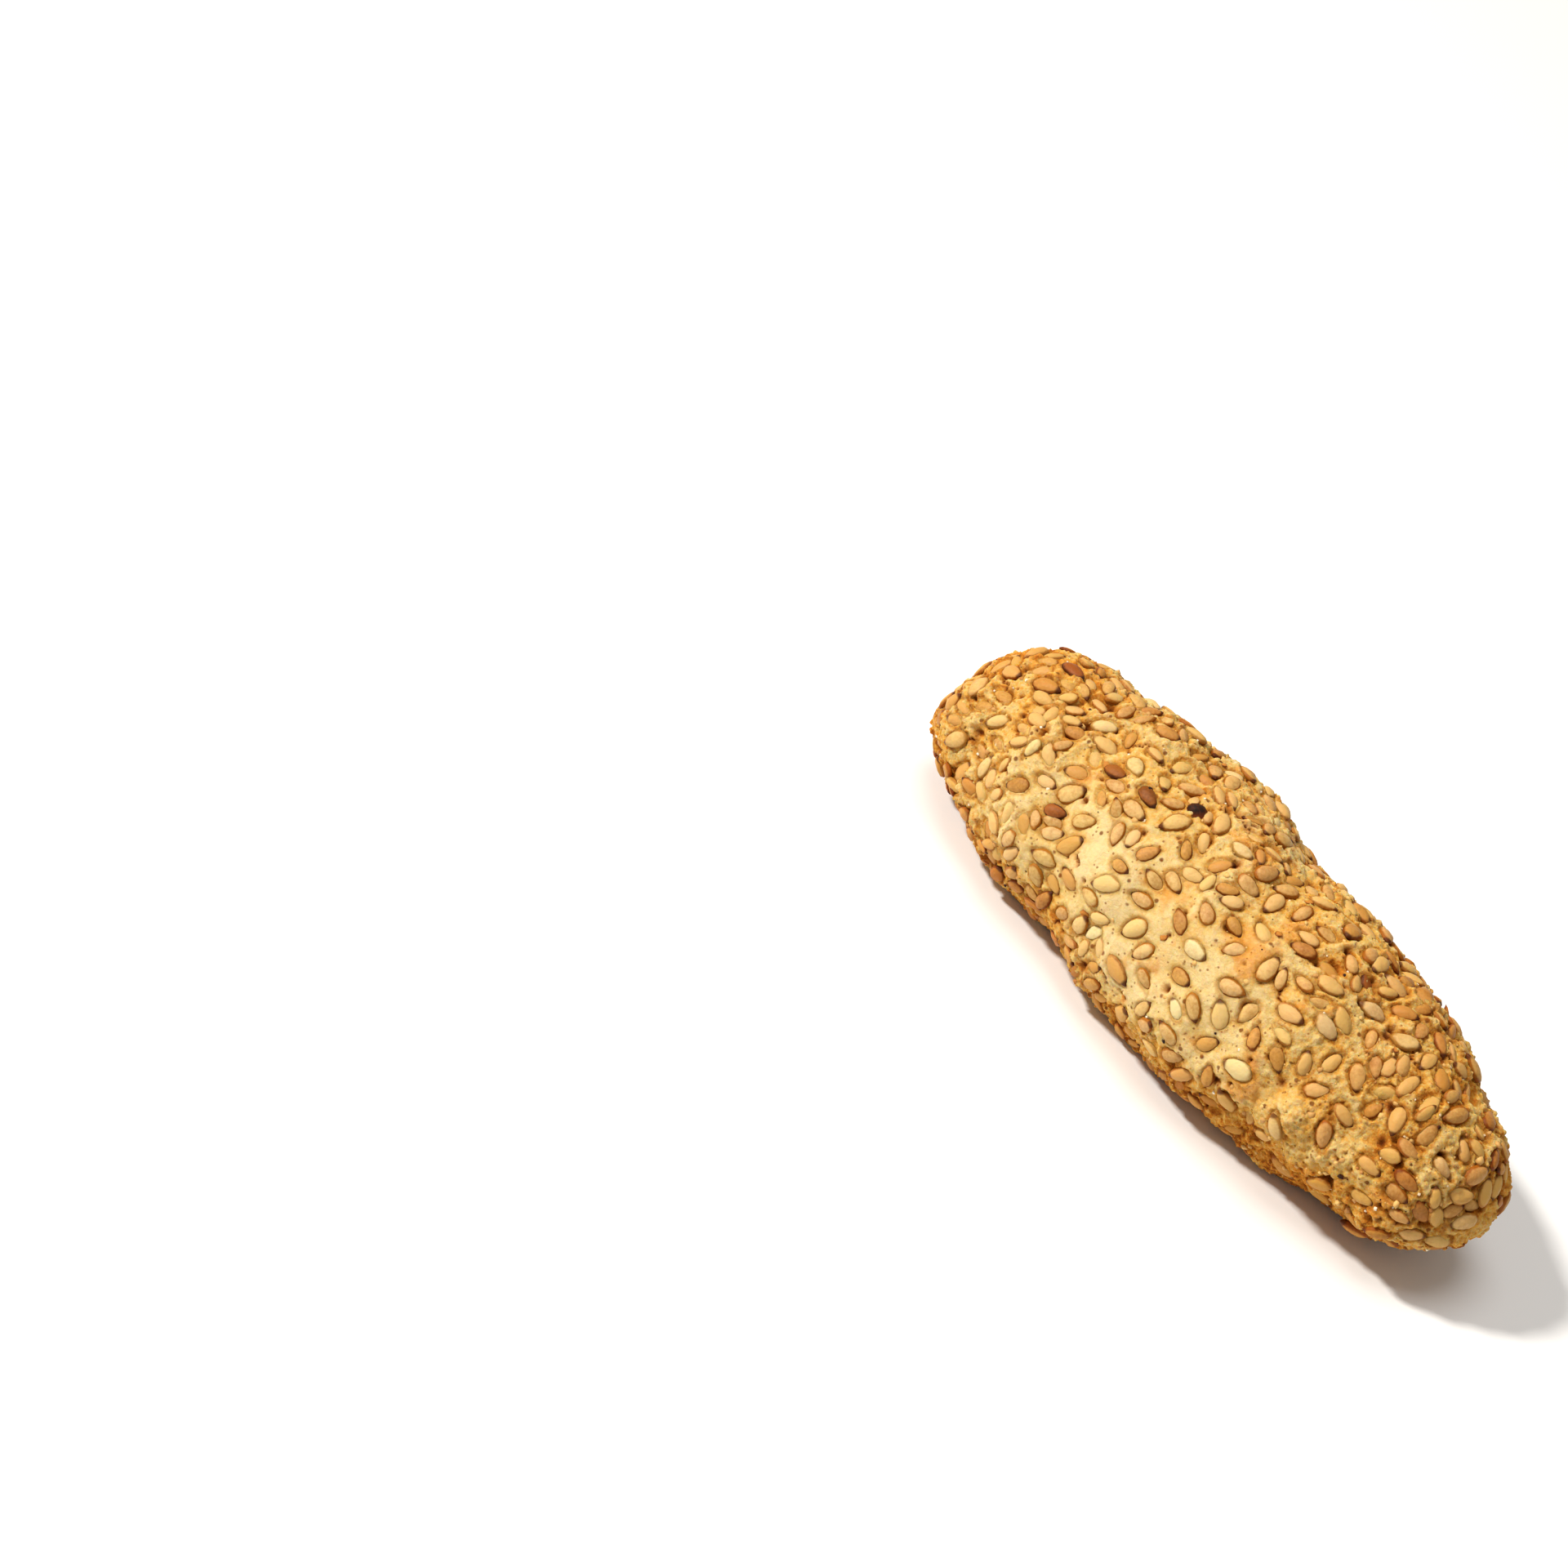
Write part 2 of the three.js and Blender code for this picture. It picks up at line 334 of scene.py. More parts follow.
# %% The first throw: the seeds of the solid
LARGE_TRIES, LARGE_DRAW = 5200, 41
SPACING_ON_FACE, SPACING_ON_FLANK = 4.7, 3.9
SEED_LOWEST = 1.6


def throw_seeds(seed, tries, lengths, buried, tilt):
    """Seeds at random places and headings, with sizes and depths between the given ones."""
    drawn = draw_table(seed, tries, 7)
    length = between(*lengths, drawn[:, 3])
    return lay_seeds(
        *drawn_place(drawn[:, 0], drawn[:, 1]), 2 * math.pi * drawn[:, 2],
        length, length * between(*SEED_SLIMNESS, drawn[:, 4]),
        between(*buried, drawn[:, 5]), tilt * (2 * drawn[:, 6] - 1),
    )


def keep_spaced(thrown, spacing, lowest, laid_middles):
    """Rows of the thrown seeds that are high enough and far enough from all laid before."""
    middles = list(laid_middles)
    kept = []
    for row, middle in enumerate(thrown["middle"]):
        if middle[2] <= lowest + thrown["size"][row, 2]:
            continue
        if np.linalg.norm(np.array(middles) - middle, axis=1).min() > spacing[row]:
            middles.append(middle)
            kept.append(row)
    return kept


thrown = throw_seeds(LARGE_DRAW, LARGE_TRIES, SEED_LENGTH, SEED_BURIED, SEED_TILT)
spacing = between(SPACING_ON_FLANK, SPACING_ON_FACE, face_share(thrown["along"], thrown["turn"]))
large = pick(thrown, keep_spaced(thrown, spacing, SEED_LOWEST, notable["middle"]))
print("large seeds:", len(notable["middle"]) + len(large["middle"]))

# %% [markdown]
# The smaller seeds have to fit between seeds that lie in every direction, so each seed is felt at
# three points along its length. A new seed is kept only if none of its points comes too close to a
# point of another. Away from the near face, each is also rolled a little on its side, because no
# two seeds are caught by the dough in the same way.

# %% The second throw: the smaller seeds
SMALL_TRIES, SMALL_DRAW = 20000, 7
SMALL_LENGTH = (2.7, 3.5)
SMALL_BURIED = (-0.2, 0.22)
SMALL_TILT = math.radians(14)
SMALL_ROLL, ROLL_DRAW = math.radians(26), 37
SMALL_LOWEST = 0.5
# The solid's seeds are drawn a little full. Seen beside dough, they are this share of that size.
SEEN_SHARE = (0.95, 0.91, 1.0)
ELBOW_ROOM_ON_FACE, ELBOW_ROOM_ON_FLANK, LEAST_ROOM = 0.0, -0.58, -0.72
# Seeds fall in clusters: the room varies by this much, in mm, over patches of this size.
CLUSTER_SWING, CLUSTER_SIZE = 0.9, 6.0
# Where the rolling left the dough bare: mm along, degrees round and reach in mm.
BARE_PATCHES = [(27, 195, 7.0), (23, 170, 3.0)]
BARE_ROOM = 2.5
# A seed's outer feelers stand this share of its length from its middle, and two feelers keep
# this share of both widths between them.
FEELER_REACH, FEELER_GAP = 0.3, 0.47


def nearness(points, mm_along, around, reach):
    """1 at a place on the dough, fading to 0 beyond its reach."""
    centre = dough_points(*named_place(mm_along, around))
    return np.exp(-((points - centre) ** 2).sum(axis=1) / reach**2)


def feelers(seeds):
    """Three points along each seed."""
    reach = seeds["forward"] * seeds["size"][:, :1] * FEELER_REACH
    return np.stack([seeds["middle"] - reach, seeds["middle"], seeds["middle"] + reach], axis=1)


def keep_clear(thrown, room, lowest, laid):
    """Rows of the thrown seeds that have room between all those laid before."""
    points = list(feelers(laid).reshape(-1, 3))
    widths = list(np.repeat(laid["size"][:, 1], 3))
    kept = []
    for row, trio in enumerate(feelers(thrown)):
        width = thrown["size"][row, 1]
        if thrown["middle"][row, 2] < lowest + thrown["size"][row, 2]:
            continue
        gaps = np.linalg.norm(np.array(points)[:, None] - trio[None], axis=2)
        if (gaps > (np.array(widths)[:, None] + width) * FEELER_GAP + room[row]).all():
            points.extend(trio)
            widths.extend([width] * 3)
            kept.append(row)
    return kept


thrown = throw_seeds(SMALL_DRAW, SMALL_TRIES, SMALL_LENGTH, SMALL_BURIED, SMALL_TILT)
clusters = np.array([noise.noise(Vector(point) / CLUSTER_SIZE) for point in thrown["middle"]])
face = face_share(thrown["along"], thrown["turn"])
room = between(ELBOW_ROOM_ON_FLANK, ELBOW_ROOM_ON_FACE, face)
room = np.maximum(room + CLUSTER_SWING * clusters, LEAST_ROOM)
for patch in BARE_PATCHES:
    room += BARE_ROOM * nearness(thrown["middle"], *patch)
laid = join(notable, large)
small = pick(thrown, keep_clear(thrown, room, SMALL_LOWEST, laid))
roll = SMALL_ROLL * (2 * draw_table(ROLL_DRAW, len(small["along"]), 1)[:, 0] - 1)
roll *= 1 - face_share(small["along"], small["turn"])
for side in ("sideways", "upward"):
    small[side] = turned(small[side], small["forward"], roll)
seeds = join(laid, small)
seeds["size"] = seeds["size"] * SEEN_SHARE

# %% The seeds pressed flush into the base
BASE_DRAW, BASE_TRIES = 83, 700
BASE_SPACING, BASE_MARGIN, BASE_GAP = 3.7, 1.6, 0.05
BASE_SEED_SHAPE = (1, 0.62, 0.32)
# Every seed is set this much deeper than the dough round it, in mm.
SINK = 0.12


def lay_base_seeds():
    """Seeds that lie crown down on the baking sheet, level with the dough round them."""
    drawn = draw_table(BASE_DRAW, BASE_TRIES, 4)
    along, across = 2 * drawn[:, 0] - 1, (2 * drawn[:, 1] - 1) * HALF_WIDTH
    narrow = girth_at(along) ** 2 - (SEAM_HEIGHT / REACH_DOWN) ** 2
    inside = np.abs(across) < np.sqrt(np.maximum(0, narrow)) * HALF_WIDTH - BASE_MARGIN
    kept = []
    for row in np.nonzero(inside)[0]:
        place = np.array([along[row] * HALF_LENGTH, across[row]])
        if all(np.linalg.norm(place - other) > BASE_SPACING for other, _ in kept):
            kept.append((place, row))
    rows = [row for _, row in kept]
    heading, length = 2 * math.pi * drawn[rows, 2], between(*SMALL_LENGTH, drawn[rows, 3])
    flat = np.zeros(len(rows))
    size = np.outer(length, BASE_SEED_SHAPE)
    places = np.array([place for place, _ in kept])
    return {
        "middle": np.stack([*places.T, size[:, 2] / 2 + BASE_GAP], axis=-1),
        "forward": np.stack([np.cos(heading), np.sin(heading), flat], axis=-1),
        "sideways": np.stack([np.sin(heading), -np.cos(heading), flat], axis=-1),
        "upward": np.stack([flat, flat, flat - 1], axis=-1),
        "size": size,
        "sunk": size[:, 2] / 2 + BASE_GAP - SINK,
        "along": along[rows],
        "turn": flat - math.pi / 2,
    }


seeds = join(seeds, lay_base_seeds())
print("all seeds:", len(seeds["middle"]))

# %% [markdown]
# ## The dough
#
# A sphere is the natural start for a loaf. Its points are moved by the formula, the part below the
# baking sheet is cut away and filled, and the mesh is then rebuilt as an even net of small squares
# by the Remesh modifier, so that fine relief comes out equally crisp everywhere. A sphere alone
# would have crowded its faces at the two ends.

# %% Raise a sphere into a loaf
LOAF_SEGMENTS, LOAF_RINGS = 160, 180
# How far the sphere's rings are moved to the middle, to keep the net even at the loaf's ends.
EVEN_OUT = 0.19
NET_SQUARE = 0.2


def read_points(piece):
    points = np.empty(len(piece.data.vertices) * 3)
    piece.data.vertices.foreach_get("co", points)
    return points.reshape(-1, 3)


def read_normals(piece):
    normals = np.empty(len(piece.data.vertices) * 3)
    piece.data.vertices.foreach_get("normal", normals)
    return normals.reshape(-1, 3)


def write_points(piece, points):
    piece.data.vertices.foreach_set("co", np.ascontiguousarray(points).ravel())
    piece.data.update()


def apply_modifier(piece, kind, **settings):
    bpy.context.view_layer.objects.active = piece
    modifier = piece.modifiers.new(kind.lower(), kind)
    for name, value in settings.items():
        setattr(modifier, name, value)
    bpy.ops.object.modifier_apply(modifier=modifier.name)


bpy.ops.mesh.primitive_uv_sphere_add(segments=LOAF_SEGMENTS, ring_count=LOAF_RINGS, radius=1)
dough = bpy.context.object
dough.name = "dough"
x, y, z = read_points(dough).T
polar = np.arccos(np.clip(z, -1, 1))
along = np.cos(polar + EVEN_OUT * np.sin(2 * polar))
write_points(dough, dough_points(along, np.arctan2(y, x)) * MM)

# %% Cut it flat beneath and rebuild it as an even net
bpy.ops.object.mode_set(mode="EDIT")
bpy.ops.mesh.select_all(action="SELECT")
bpy.ops.mesh.bisect(plane_co=(0, 0, 0), plane_no=(0, 0, 1), use_fill=True, clear_inner=True)
bpy.ops.object.mode_set(mode="OBJECT")
apply_modifier(dough, "REMESH", mode="VOXEL", voxel_size=NET_SQUARE * MM)
apply_modifier(dough, "SMOOTH", factor=0.5, iterations=3)
smooth_skin, smooth_outward = read_points(dough) / MM, read_normals(dough)
print("dough faces:", len(dough.data.polygons))

# %% [markdown]
# Baked dough is uneven at several scales at once: soft dents some millimetres wide, rounded crumbs
# of one or two millimetres with crevices between them, and fine grain. Each is one Displace
# modifier: clouds give soft dents, and the cells of a Voronoi texture give crumbs. The crumbs
# follow a vertex group, because the pale near face is smoother than the flanks and the ends.

# %% Where the skin is rough
OFF_SHEET_RISE = (0.1, 1.2)
SMOOTHER_ON_FACE, LEAST_CRUMBLY, LEAST_GRAINY = 0.80, 0.15, 0.30
GROUP_LEVELS = 20


def smooth_step(low, high, values):
    share = np.clip((values - low) / (high - low), 0, 1)
    return share * share * (3 - 2 * share)


def skin_coordinates(points):
    """Along, from -1 to 1, and turn of points near the skin, in mm."""
    along = np.clip(points[:, 0] / HALF_LENGTH, -1, 1)
    up = points[:, 2] - SEAM_HEIGHT
    turn = np.arctan2(up / np.where(up > 0, REACH_UP, REACH_DOWN), points[:, 1] / HALF_WIDTH)
    return along, np.where(turn < -math.pi / 2, turn + 2 * math.pi, turn)


def add_group(piece, name, weights):
    """Weights in even steps, because a group takes all points of one weight at once."""
    group = piece.vertex_groups.new(name=name)
    levels = np.round(weights * GROUP_LEVELS).astype(int)
    for level in np.unique(levels):
        rows = np.nonzero(levels == level)[0]
        group.add(rows.tolist(), float(level) / GROUP_LEVELS, "REPLACE")


along, turn = skin_coordinates(smooth_skin)
off_sheet = smooth_step(*OFF_SHEET_RISE, smooth_skin[:, 2])
crumbly = 1 - SMOOTHER_ON_FACE * face_share(along, turn)
crumbly *= between(LEAST_CRUMBLY, 1, off_sheet)
add_group(dough, "crumbly", crumbly)
add_group(dough, "grainy", between(LEAST_GRAINY, 1, crumbly))
add_group(dough, "off sheet", off_sheet)
add_group(dough, "on sheet", 1 - off_sheet)


# %% Layers of unevenness, from coarse to fine
# Each layer: texture, size and height in mm, where it goes, and the grey that moves nothing.
RELIEF_LAYERS = {
    "soft dents": ("CLOUDS", 4.5, 1.1, "off sheet", 0.5),
    "knobbly skin": ("VORONOI", 2.6, -0.52, "crumbly", 0.4),
    "crumbs of dough": ("VORONOI", 1.2, -0.42, "crumbly", 0.4),
    "small crumbs": ("VORONOI", 0.6, -0.40, "crumbly", 0.4),
    "fine grain": ("CLOUDS", 0.5, 0.42, "grainy", 0.5),
    "uneven base": ("CLOUDS", 5.0, 0.9, "on sheet", 0.62),
}


def add_relief(piece, name, kind, size, height, group, middle):
    texture = bpy.data.textures.new(name, kind)
    texture.noise_scale = size * MM
    apply_modifier(
        piece, "DISPLACE", texture=texture, texture_coords="LOCAL", strength=height * MM,
        mid_level=middle, vertex_group=group,
    )


for name, settings in RELIEF_LAYERS.items():
    add_relief(dough, name, *settings)

# %% [markdown]
# Gas that escapes from the dough leaves pores and pits, and the crust tears into short cracks.
# Each is a small round hollow, and a crack is a row of them along a wandering line. How hollow each
# point is gets remembered, so that the material can paint shade into it later.

# %% Pits, pores and cracks
PIT_DRAW, PIT_COUNT = 17, 1000
PIT_RADIUS, PIT_STEEPNESS, SMALLER_IS_COMMONER = (0.22, 0.85), (0.9, 1.5), 3.2
FEWER_PITS_ON_FACE, FEWER_CRACKS_ON_FACE = 0.6, 0.85
# Pits that catch the eye: mm along, degrees round and radius in mm.
PITS_BY_HAND = [
    (34, 180, 0.9), (36, 182, 0.5), (37.5, 178, 0.5), (33.5, 133, 0.8), (29.5, 129, 0.8),
    (19, 215, 0.9),
]
BY_HAND_STEEPNESS = 0.8
CRACK_DRAW, CRACK_COUNT = 29, 110
CRACK_STEPS, CRACK_STEP, CRACK_END = (6, 16), 0.3, 0.98
CRACK_RADIUS, CRACK_DEPTH = (0.16, 0.30), 0.5
# A crack swings from side to side, each from a phase of its own, and bends one way as it goes.
CRACK_SWING, CRACK_PHASES, CRACK_BEND = 0.9, 20, 0.12


def draw_pits():
    """Centres, radii and depths in mm; small ones are far more common than large ones."""
    drawn = draw_table(PIT_DRAW, PIT_COUNT, 5)
    along, turn = drawn_place(drawn[:, 0], drawn[:, 1])
    radii = between(*PIT_RADIUS, drawn[:, 2] ** SMALLER_IS_COMMONER)
    depths = radii * between(*PIT_STEEPNESS, drawn[:, 3])
    wanted = drawn[:, 4] > FEWER_PITS_ON_FACE * face_share(along, turn)
    mm_along, around, wide = np.array(PITS_BY_HAND).T
    mm_along, around = named_place(mm_along, around)
    centres = dough_points(np.append(along[wanted], mm_along), np.append(turn[wanted], around))
    depths = np.append(depths[wanted], BY_HAND_STEEPNESS * wide)
    return centres, np.append(radii[wanted], wide), depths


def draw_cracks():
    """Rows of small hollows along wandering lines, mostly away from the near face."""
    drawn = draw_table(CRACK_DRAW, CRACK_COUNT, 6)
    centres, radii, depths = [], [], []
    for start, around, heading, bend, size, wanted in drawn:
        along, turn = drawn_place(start, around)
        if wanted < FEWER_CRACKS_ON_FACE * face_share(along, turn):
            continue
        steps = int(between(*CRACK_STEPS, size))
        for step in range(steps):
            wander = CRACK_SWING * math.sin(step * CRACK_SWING + CRACK_PHASES * size)
            wander += (bend - 0.5) * step * CRACK_BEND
            angle = 2 * math.pi * heading + wander
            along = along + CRACK_STEP * math.cos(angle) / HALF_LENGTH
            along = min(max(along, -CRACK_END), CRACK_END)
            turn += CRACK_STEP * math.sin(angle) / HALF_WIDTH
            fade = math.sin(math.pi * (step + 0.5) / steps)
            centres.append(dough_points(np.array(along), np.array(turn)))
            radii.append(between(*CRACK_RADIUS, fade))
            depths.append(CRACK_DEPTH * fade)
    return np.array(centres), np.array(radii), np.array(depths)


def point_tree(points):
    tree = kdtree.KDTree(len(points))
    for row, point in enumerate(points):
        tree.insert(point, row)
    tree.balance()
    return tree


# A hollow has faded away at this many radii, and one this deep in mm counts as fully hollow.
HOLLOW_REACH, HOLLOW_FADE, FULLY_HOLLOW = 2.2, 1.4, 0.4


def hollow_out(points, outward, centres, radii, depths):
    """Sinks the skin at each hollow and tells how hollow it is at every point, 0 to 1."""
    tree = point_tree(points)
    sink, hollow = np.zeros(len(points)), np.zeros(len(points))
    for centre, radius, depth in zip(centres, radii, depths):
        near = tree.find_range(tree.find(centre)[0], radius * HOLLOW_REACH)
        rows = np.array([row for _, row, _ in near])
        share = np.exp(-HOLLOW_FADE * (np.array([gap for _, _, gap in near]) / radius) ** 2)
        sink[rows] = np.maximum(sink[rows], depth * share)
        hollow[rows] = np.maximum(hollow[rows], share * min(1, depth / FULLY_HOLLOW))
    return points - outward * sink[:, None], hollow


skin = read_points(dough) / MM
pits, cracks = draw_pits(), draw_cracks()
hollows = [np.concatenate(pair) for pair in zip(pits, cracks)]
skin, hollow = hollow_out(skin, smooth_outward, *hollows)
print("pits:", len(pits[0]), "hollows in cracks:", len(cracks[0]))

# %% [markdown]
# ## Seating the seeds
#
# Each seed settles onto the uneven skin: it is moved out or in by the middle height of the dough
# under it. Then the dough is pressed down beneath the seed, sinks in a narrow groove along its
# edge, and rises in a low collar outside the groove, so that the seed lies in the dough and not on
# it. Where the skin is rough, some seeds are sunk deeper and the dough stays partly over them. On
# the smooth near face the groove is shallow and there is almost no collar. A soft band along each
# seed's edge is remembered too: the crust is browner there, and the same band paints the shade
# where seed and dough meet.

# %% Settle the seeds and press their seats
SEAT_DRAW = 53
SEAT_WIDTH, SETTLE_LIMIT, FACE_SINK = 1.3, 0.7, 0.10
COVERED_SHARE, COVERED_SINK, COVERED_PRESS = 0.45, 0.20, 0.42
# The floor of a seat as a share of its seed's thickness, and its wall, in mm outside the outline.
SEAT_FLOOR, SEAT_WALL = -0.22, (-0.30, 0.02)
# Depth or height in mm, how much less of it there is on the face, and its band's middle and reach.
GROOVE_DEPTH, LESS_GROOVE, GROOVE_BAND = (0.03, 0.20), 0.7, (0.03, 0.17)
COLLAR_HEIGHT, LESS_COLLAR, COLLAR_BAND = (0.0, 0.19), 0.9, (0.40, 0.28)
# Middle and reach in mm of the band along a seed's edge that is browned and painted with shade.
SEAT_TAN_AND_SHADE_BAND = (0.02, 0.26)
# A seed's outline is this wide at its rear and loses this much up to its tip.
REAR_WIDTH, TIP_NARROWING = 1.10, 0.38


def seed_fullness(local, size):
    """1 on a seed's outline seen from above, less inside and more outside."""
    lengthwise = np.clip(local[:, 0] / size[0], -0.5, 0.5)
    narrowing = REAR_WIDTH - TIP_NARROWING * smooth_step(-0.3, 0.5, lengthwise)
    return np.hypot(2 * local[:, 0] / size[0], 2 * local[:, 1] / (size[1] * narrowing))


def hump(values, middle, reach):
    return np.exp(-(((values - middle) / reach) ** 2))


def seat_seeds(points, outward, seeds):
    """Moves the seeds onto the skin, shapes the skin round them, and tells where edges are."""
    tree = point_tree(points)
    drawn = draw_table(SEAT_DRAW, len(seeds["middle"]), 3)
    face = face_share(seeds["along"], seeds["turn"])
    grooves = between(*GROOVE_DEPTH, drawn[:, 0]) * (1 - LESS_GROOVE * face)
    collars = between(*COLLAR_HEIGHT, drawn[:, 1]) * (1 - LESS_COLLAR * face)
    covered = drawn[:, 2] < COVERED_SHARE * (1 - face)
    moved, edge, raised = points.copy(), np.zeros(len(points)), np.zeros(len(points))
    for row, (groove, collar) in enumerate(zip(grooves, collars)):
        size = seeds["size"][row]
        axes = np.stack([seeds["forward"][row], seeds["sideways"][row], seeds["upward"][row]])
        near = tree.find_range(seeds["middle"][row], size[0])
        rows = np.array([found for _, found, _ in near])
        local = (points[rows] - seeds["middle"][row]) @ axes.T
        under = local[np.hypot(local[:, 0], local[:, 1]) < SEAT_WIDTH, 2]
        settle = float(np.clip(np.median(under), -SETTLE_LIMIT, SETTLE_LIMIT)) if under.size else 0
        settle -= seeds["sunk"][row] + SINK + FACE_SINK * face[row] + COVERED_SINK * covered[row]
        seeds["middle"][row] += settle * axes[2]
        local[:, 2] -= settle
        outside = (seed_fullness(local, size) - 1) * size[1] / 2
        seat = np.minimum(local[:, 2], SEAT_FLOOR * size[2])
        inside = (1 - smooth_step(*SEAT_WALL, outside)) * (COVERED_PRESS if covered[row] else 1)
        lift = (seat - local[:, 2]) * inside - groove * hump(outside, *GROOVE_BAND)
        moved[rows] += lift[:, None] * axes[2]
        raised[rows] = np.maximum(raised[rows], collar * hump(outside, *COLLAR_BAND))
        edge[rows] = np.maximum(edge[rows], hump(outside, *SEAT_TAN_AND_SHADE_BAND))
    moved += outward * raised[:, None]
    moved[:, 2] = np.maximum(moved[:, 2], 0)
    return moved, edge


skin, seat_edge_tan_and_shade = seat_seeds(skin, smooth_outward, seeds)
write_points(dough, skin * MM)

# %% [markdown]
# The net now has more faces than the skin needs, most of them on the flat base and the smooth near
# face. The Decimate modifier takes faces away where the surface is flat and leaves them in the
# crevices. It makes new points, so each takes its remembered numbers from the old point nearest it.

# %% Thin the net where the skin is flat
DOUGH_TRIANGLES = 196000
# The relief paints shade into the dough's colour: crevices darker, and high points only a little
# paler.
RELIEF_RANGE = (-0.9, 0.12)


def count_triangles(piece):
    return sum(len(face.vertices) - 2 for face in piece.data.polygons)


relief = np.clip(((skin - smooth_skin) * smooth_outward).sum(axis=1), *RELIEF_RANGE)
triangles = count_triangles(dough)
apply_modifier(dough, "DECIMATE", ratio=DOUGH_TRIANGLES / triangles)
dough.vertex_groups.clear()
tree = point_tree(skin)
points = read_points(dough) / MM
points[:, 2] = np.maximum(points[:, 2], 0)
write_points(dough, points * MM)
nearest = np.array([tree.find(point)[1] for point in points])
relief, hollow, seat_edge_tan_and_shade = relief[nearest], hollow[nearest], seat_edge_tan_and_shade[nearest]
print("dough triangles:", count_triangles(dough), "from", triangles)
print("dough in mm:", np.ptp(points, axis=0).round(1))

# %% [markdown]
# ## The seeds
#
# A sesame seed is a flat teardrop with a blunt rear and a pointed tip. One is modelled from a low
# sphere: its rings are scaled one by one until the outline tapers, and it is flattened. It repeats
# about seven hundred times, so it has only a few dozen faces and leaves the rest to smooth shading.
# Five shapes, each a little uneven in its own way, are enough for the eye.

# %% Model the seed shapes
SEED_SEGMENTS, SEED_RINGS = 8, 8
# How much wider each ring is than the sphere's, from the blunt rear to the tip.
PLUMP_RINGS = (1.19, 1.14, 1.08, 1.00, 0.87, 0.69, 0.43)
SLIM_RINGS = (1.10, 1.06, 1.01, 0.91, 0.78, 0.60, 0.38)
# How fine the seeds' dents are, and how far apart in the noise two shapes are taken.
DENT_FINENESS, DENT_SPREAD = 2.4, 90
NEAR = 0.01


def model_seed(name, ring_widths, ridge, unevenness):
    """A seed of unit length, width and thickness, its tip along X, shaped ring by ring."""
    bpy.ops.mesh.primitive_uv_sphere_add(
        segments=SEED_SEGMENTS, ring_count=SEED_RINGS, radius=0.5, rotation=(0, math.pi / 2, 0)
    )
    shape = bpy.context.object
    shape.name = name
    bpy.ops.object.transform_apply(location=False, rotation=True, scale=False)
    bpy.ops.object.mode_set(mode="EDIT")
    bpy.ops.mesh.select_mode(type="VERT")
    for ring, widening in enumerate(ring_widths):
        station = -0.5 * math.cos(math.pi * (ring + 1) / SEED_RINGS)
        bpy.ops.mesh.select_all(action="DESELECT")
        bpy.ops.object.mode_set(mode="OBJECT")
        for vertex in shape.data.vertices:
            vertex.select = abs(vertex.co.x - station) < NEAR
        bpy.ops.object.mode_set(mode="EDIT")
        bpy.ops.transform.resize(value=(1, widening, math.sqrt(widening)))
    bpy.ops.object.mode_set(mode="OBJECT")
    points = read_points(shape)
    on_crown = (np.abs(points[:, 1]) < NEAR) & (points[:, 2] > 0)
    points[:, 2] += on_crown * ridge * (1 - (2 * points[:, 0]) ** 2)
    shift = Vector((ridge * DENT_SPREAD, 0, 0))
    dents = np.array([noise.noise(Vector(point * DENT_FINENESS) + shift) for point in points])
    write_points(shape, points * (1 + unevenness * dents)[:, None])
    return shape


seed_shapes = [
    model_seed("plump seed", PLUMP_RINGS, ridge=-0.04, unevenness=0.10),
    model_seed("slim seed", SLIM_RINGS, ridge=0.02, unevenness=0.14),
    model_seed("shrunken seed", PLUMP_RINGS, ridge=-0.13, unevenness=0.18),
    model_seed("flat seed", PLUMP_RINGS, ridge=-0.08, unevenness=0.22),
    model_seed("keeled seed", SLIM_RINGS, ridge=0.06, unevenness=0.12),
]
print("faces of one seed:", len(seed_shapes[0].data.polygons))

# %% [markdown]
# All seeds of one kind become one mesh. It is built from arrays: the points of the modelled seed,
# turned, sized and moved once for each place. Every point also stores numbers for the material:
# how far along and up its seed it lies, and its seed's own tone.

# %% How strongly each place is baked, from 0, pale, to 1, brown
BAKE, PALER_ON_FACE = 0.27, 0.22
# Low down the dough is browner, partly from the baking sheet and partly as painted shade on its lower
# sides.
BROWNER_AND_SHADED_BELOW, BROWNER_HEAD, BROWNER_TAIL = 0.36, 0.12, 0.06
# Heights in mm, and shares of the half length, between which the baking grows.
BELOW, HEAD, TAIL = (1.0, 11.0), (0.55, 0.95), (0.0, 0.8)
# The palest band lies a little lower than the middle of the sparse face.
PALE_SHIFT = math.radians(13)


def bake_at(points):
    along, turn = skin_coordinates(points)
    bake = BAKE - PALER_ON_FACE * face_share(along, turn - PALE_SHIFT)
    # Browner low down: baked on the sheet, and painted shade.
    bake += BROWNER_AND_SHADED_BELOW * (1 - smooth_step(*BELOW, points[:, 2]))
    bake += BROWNER_HEAD * smooth_step(*HEAD, -along) + BROWNER_TAIL * smooth_step(*TAIL, along)
    return np.clip(bake, 0, 1)


# %% Copy the seeds into one mesh for each kind
def add_attribute(piece, name, values):
    layer = piece.data.attributes.new(name, "FLOAT", "POINT")
    layer.data.foreach_set("value", np.ascontiguousarray(values, dtype=np.float32))


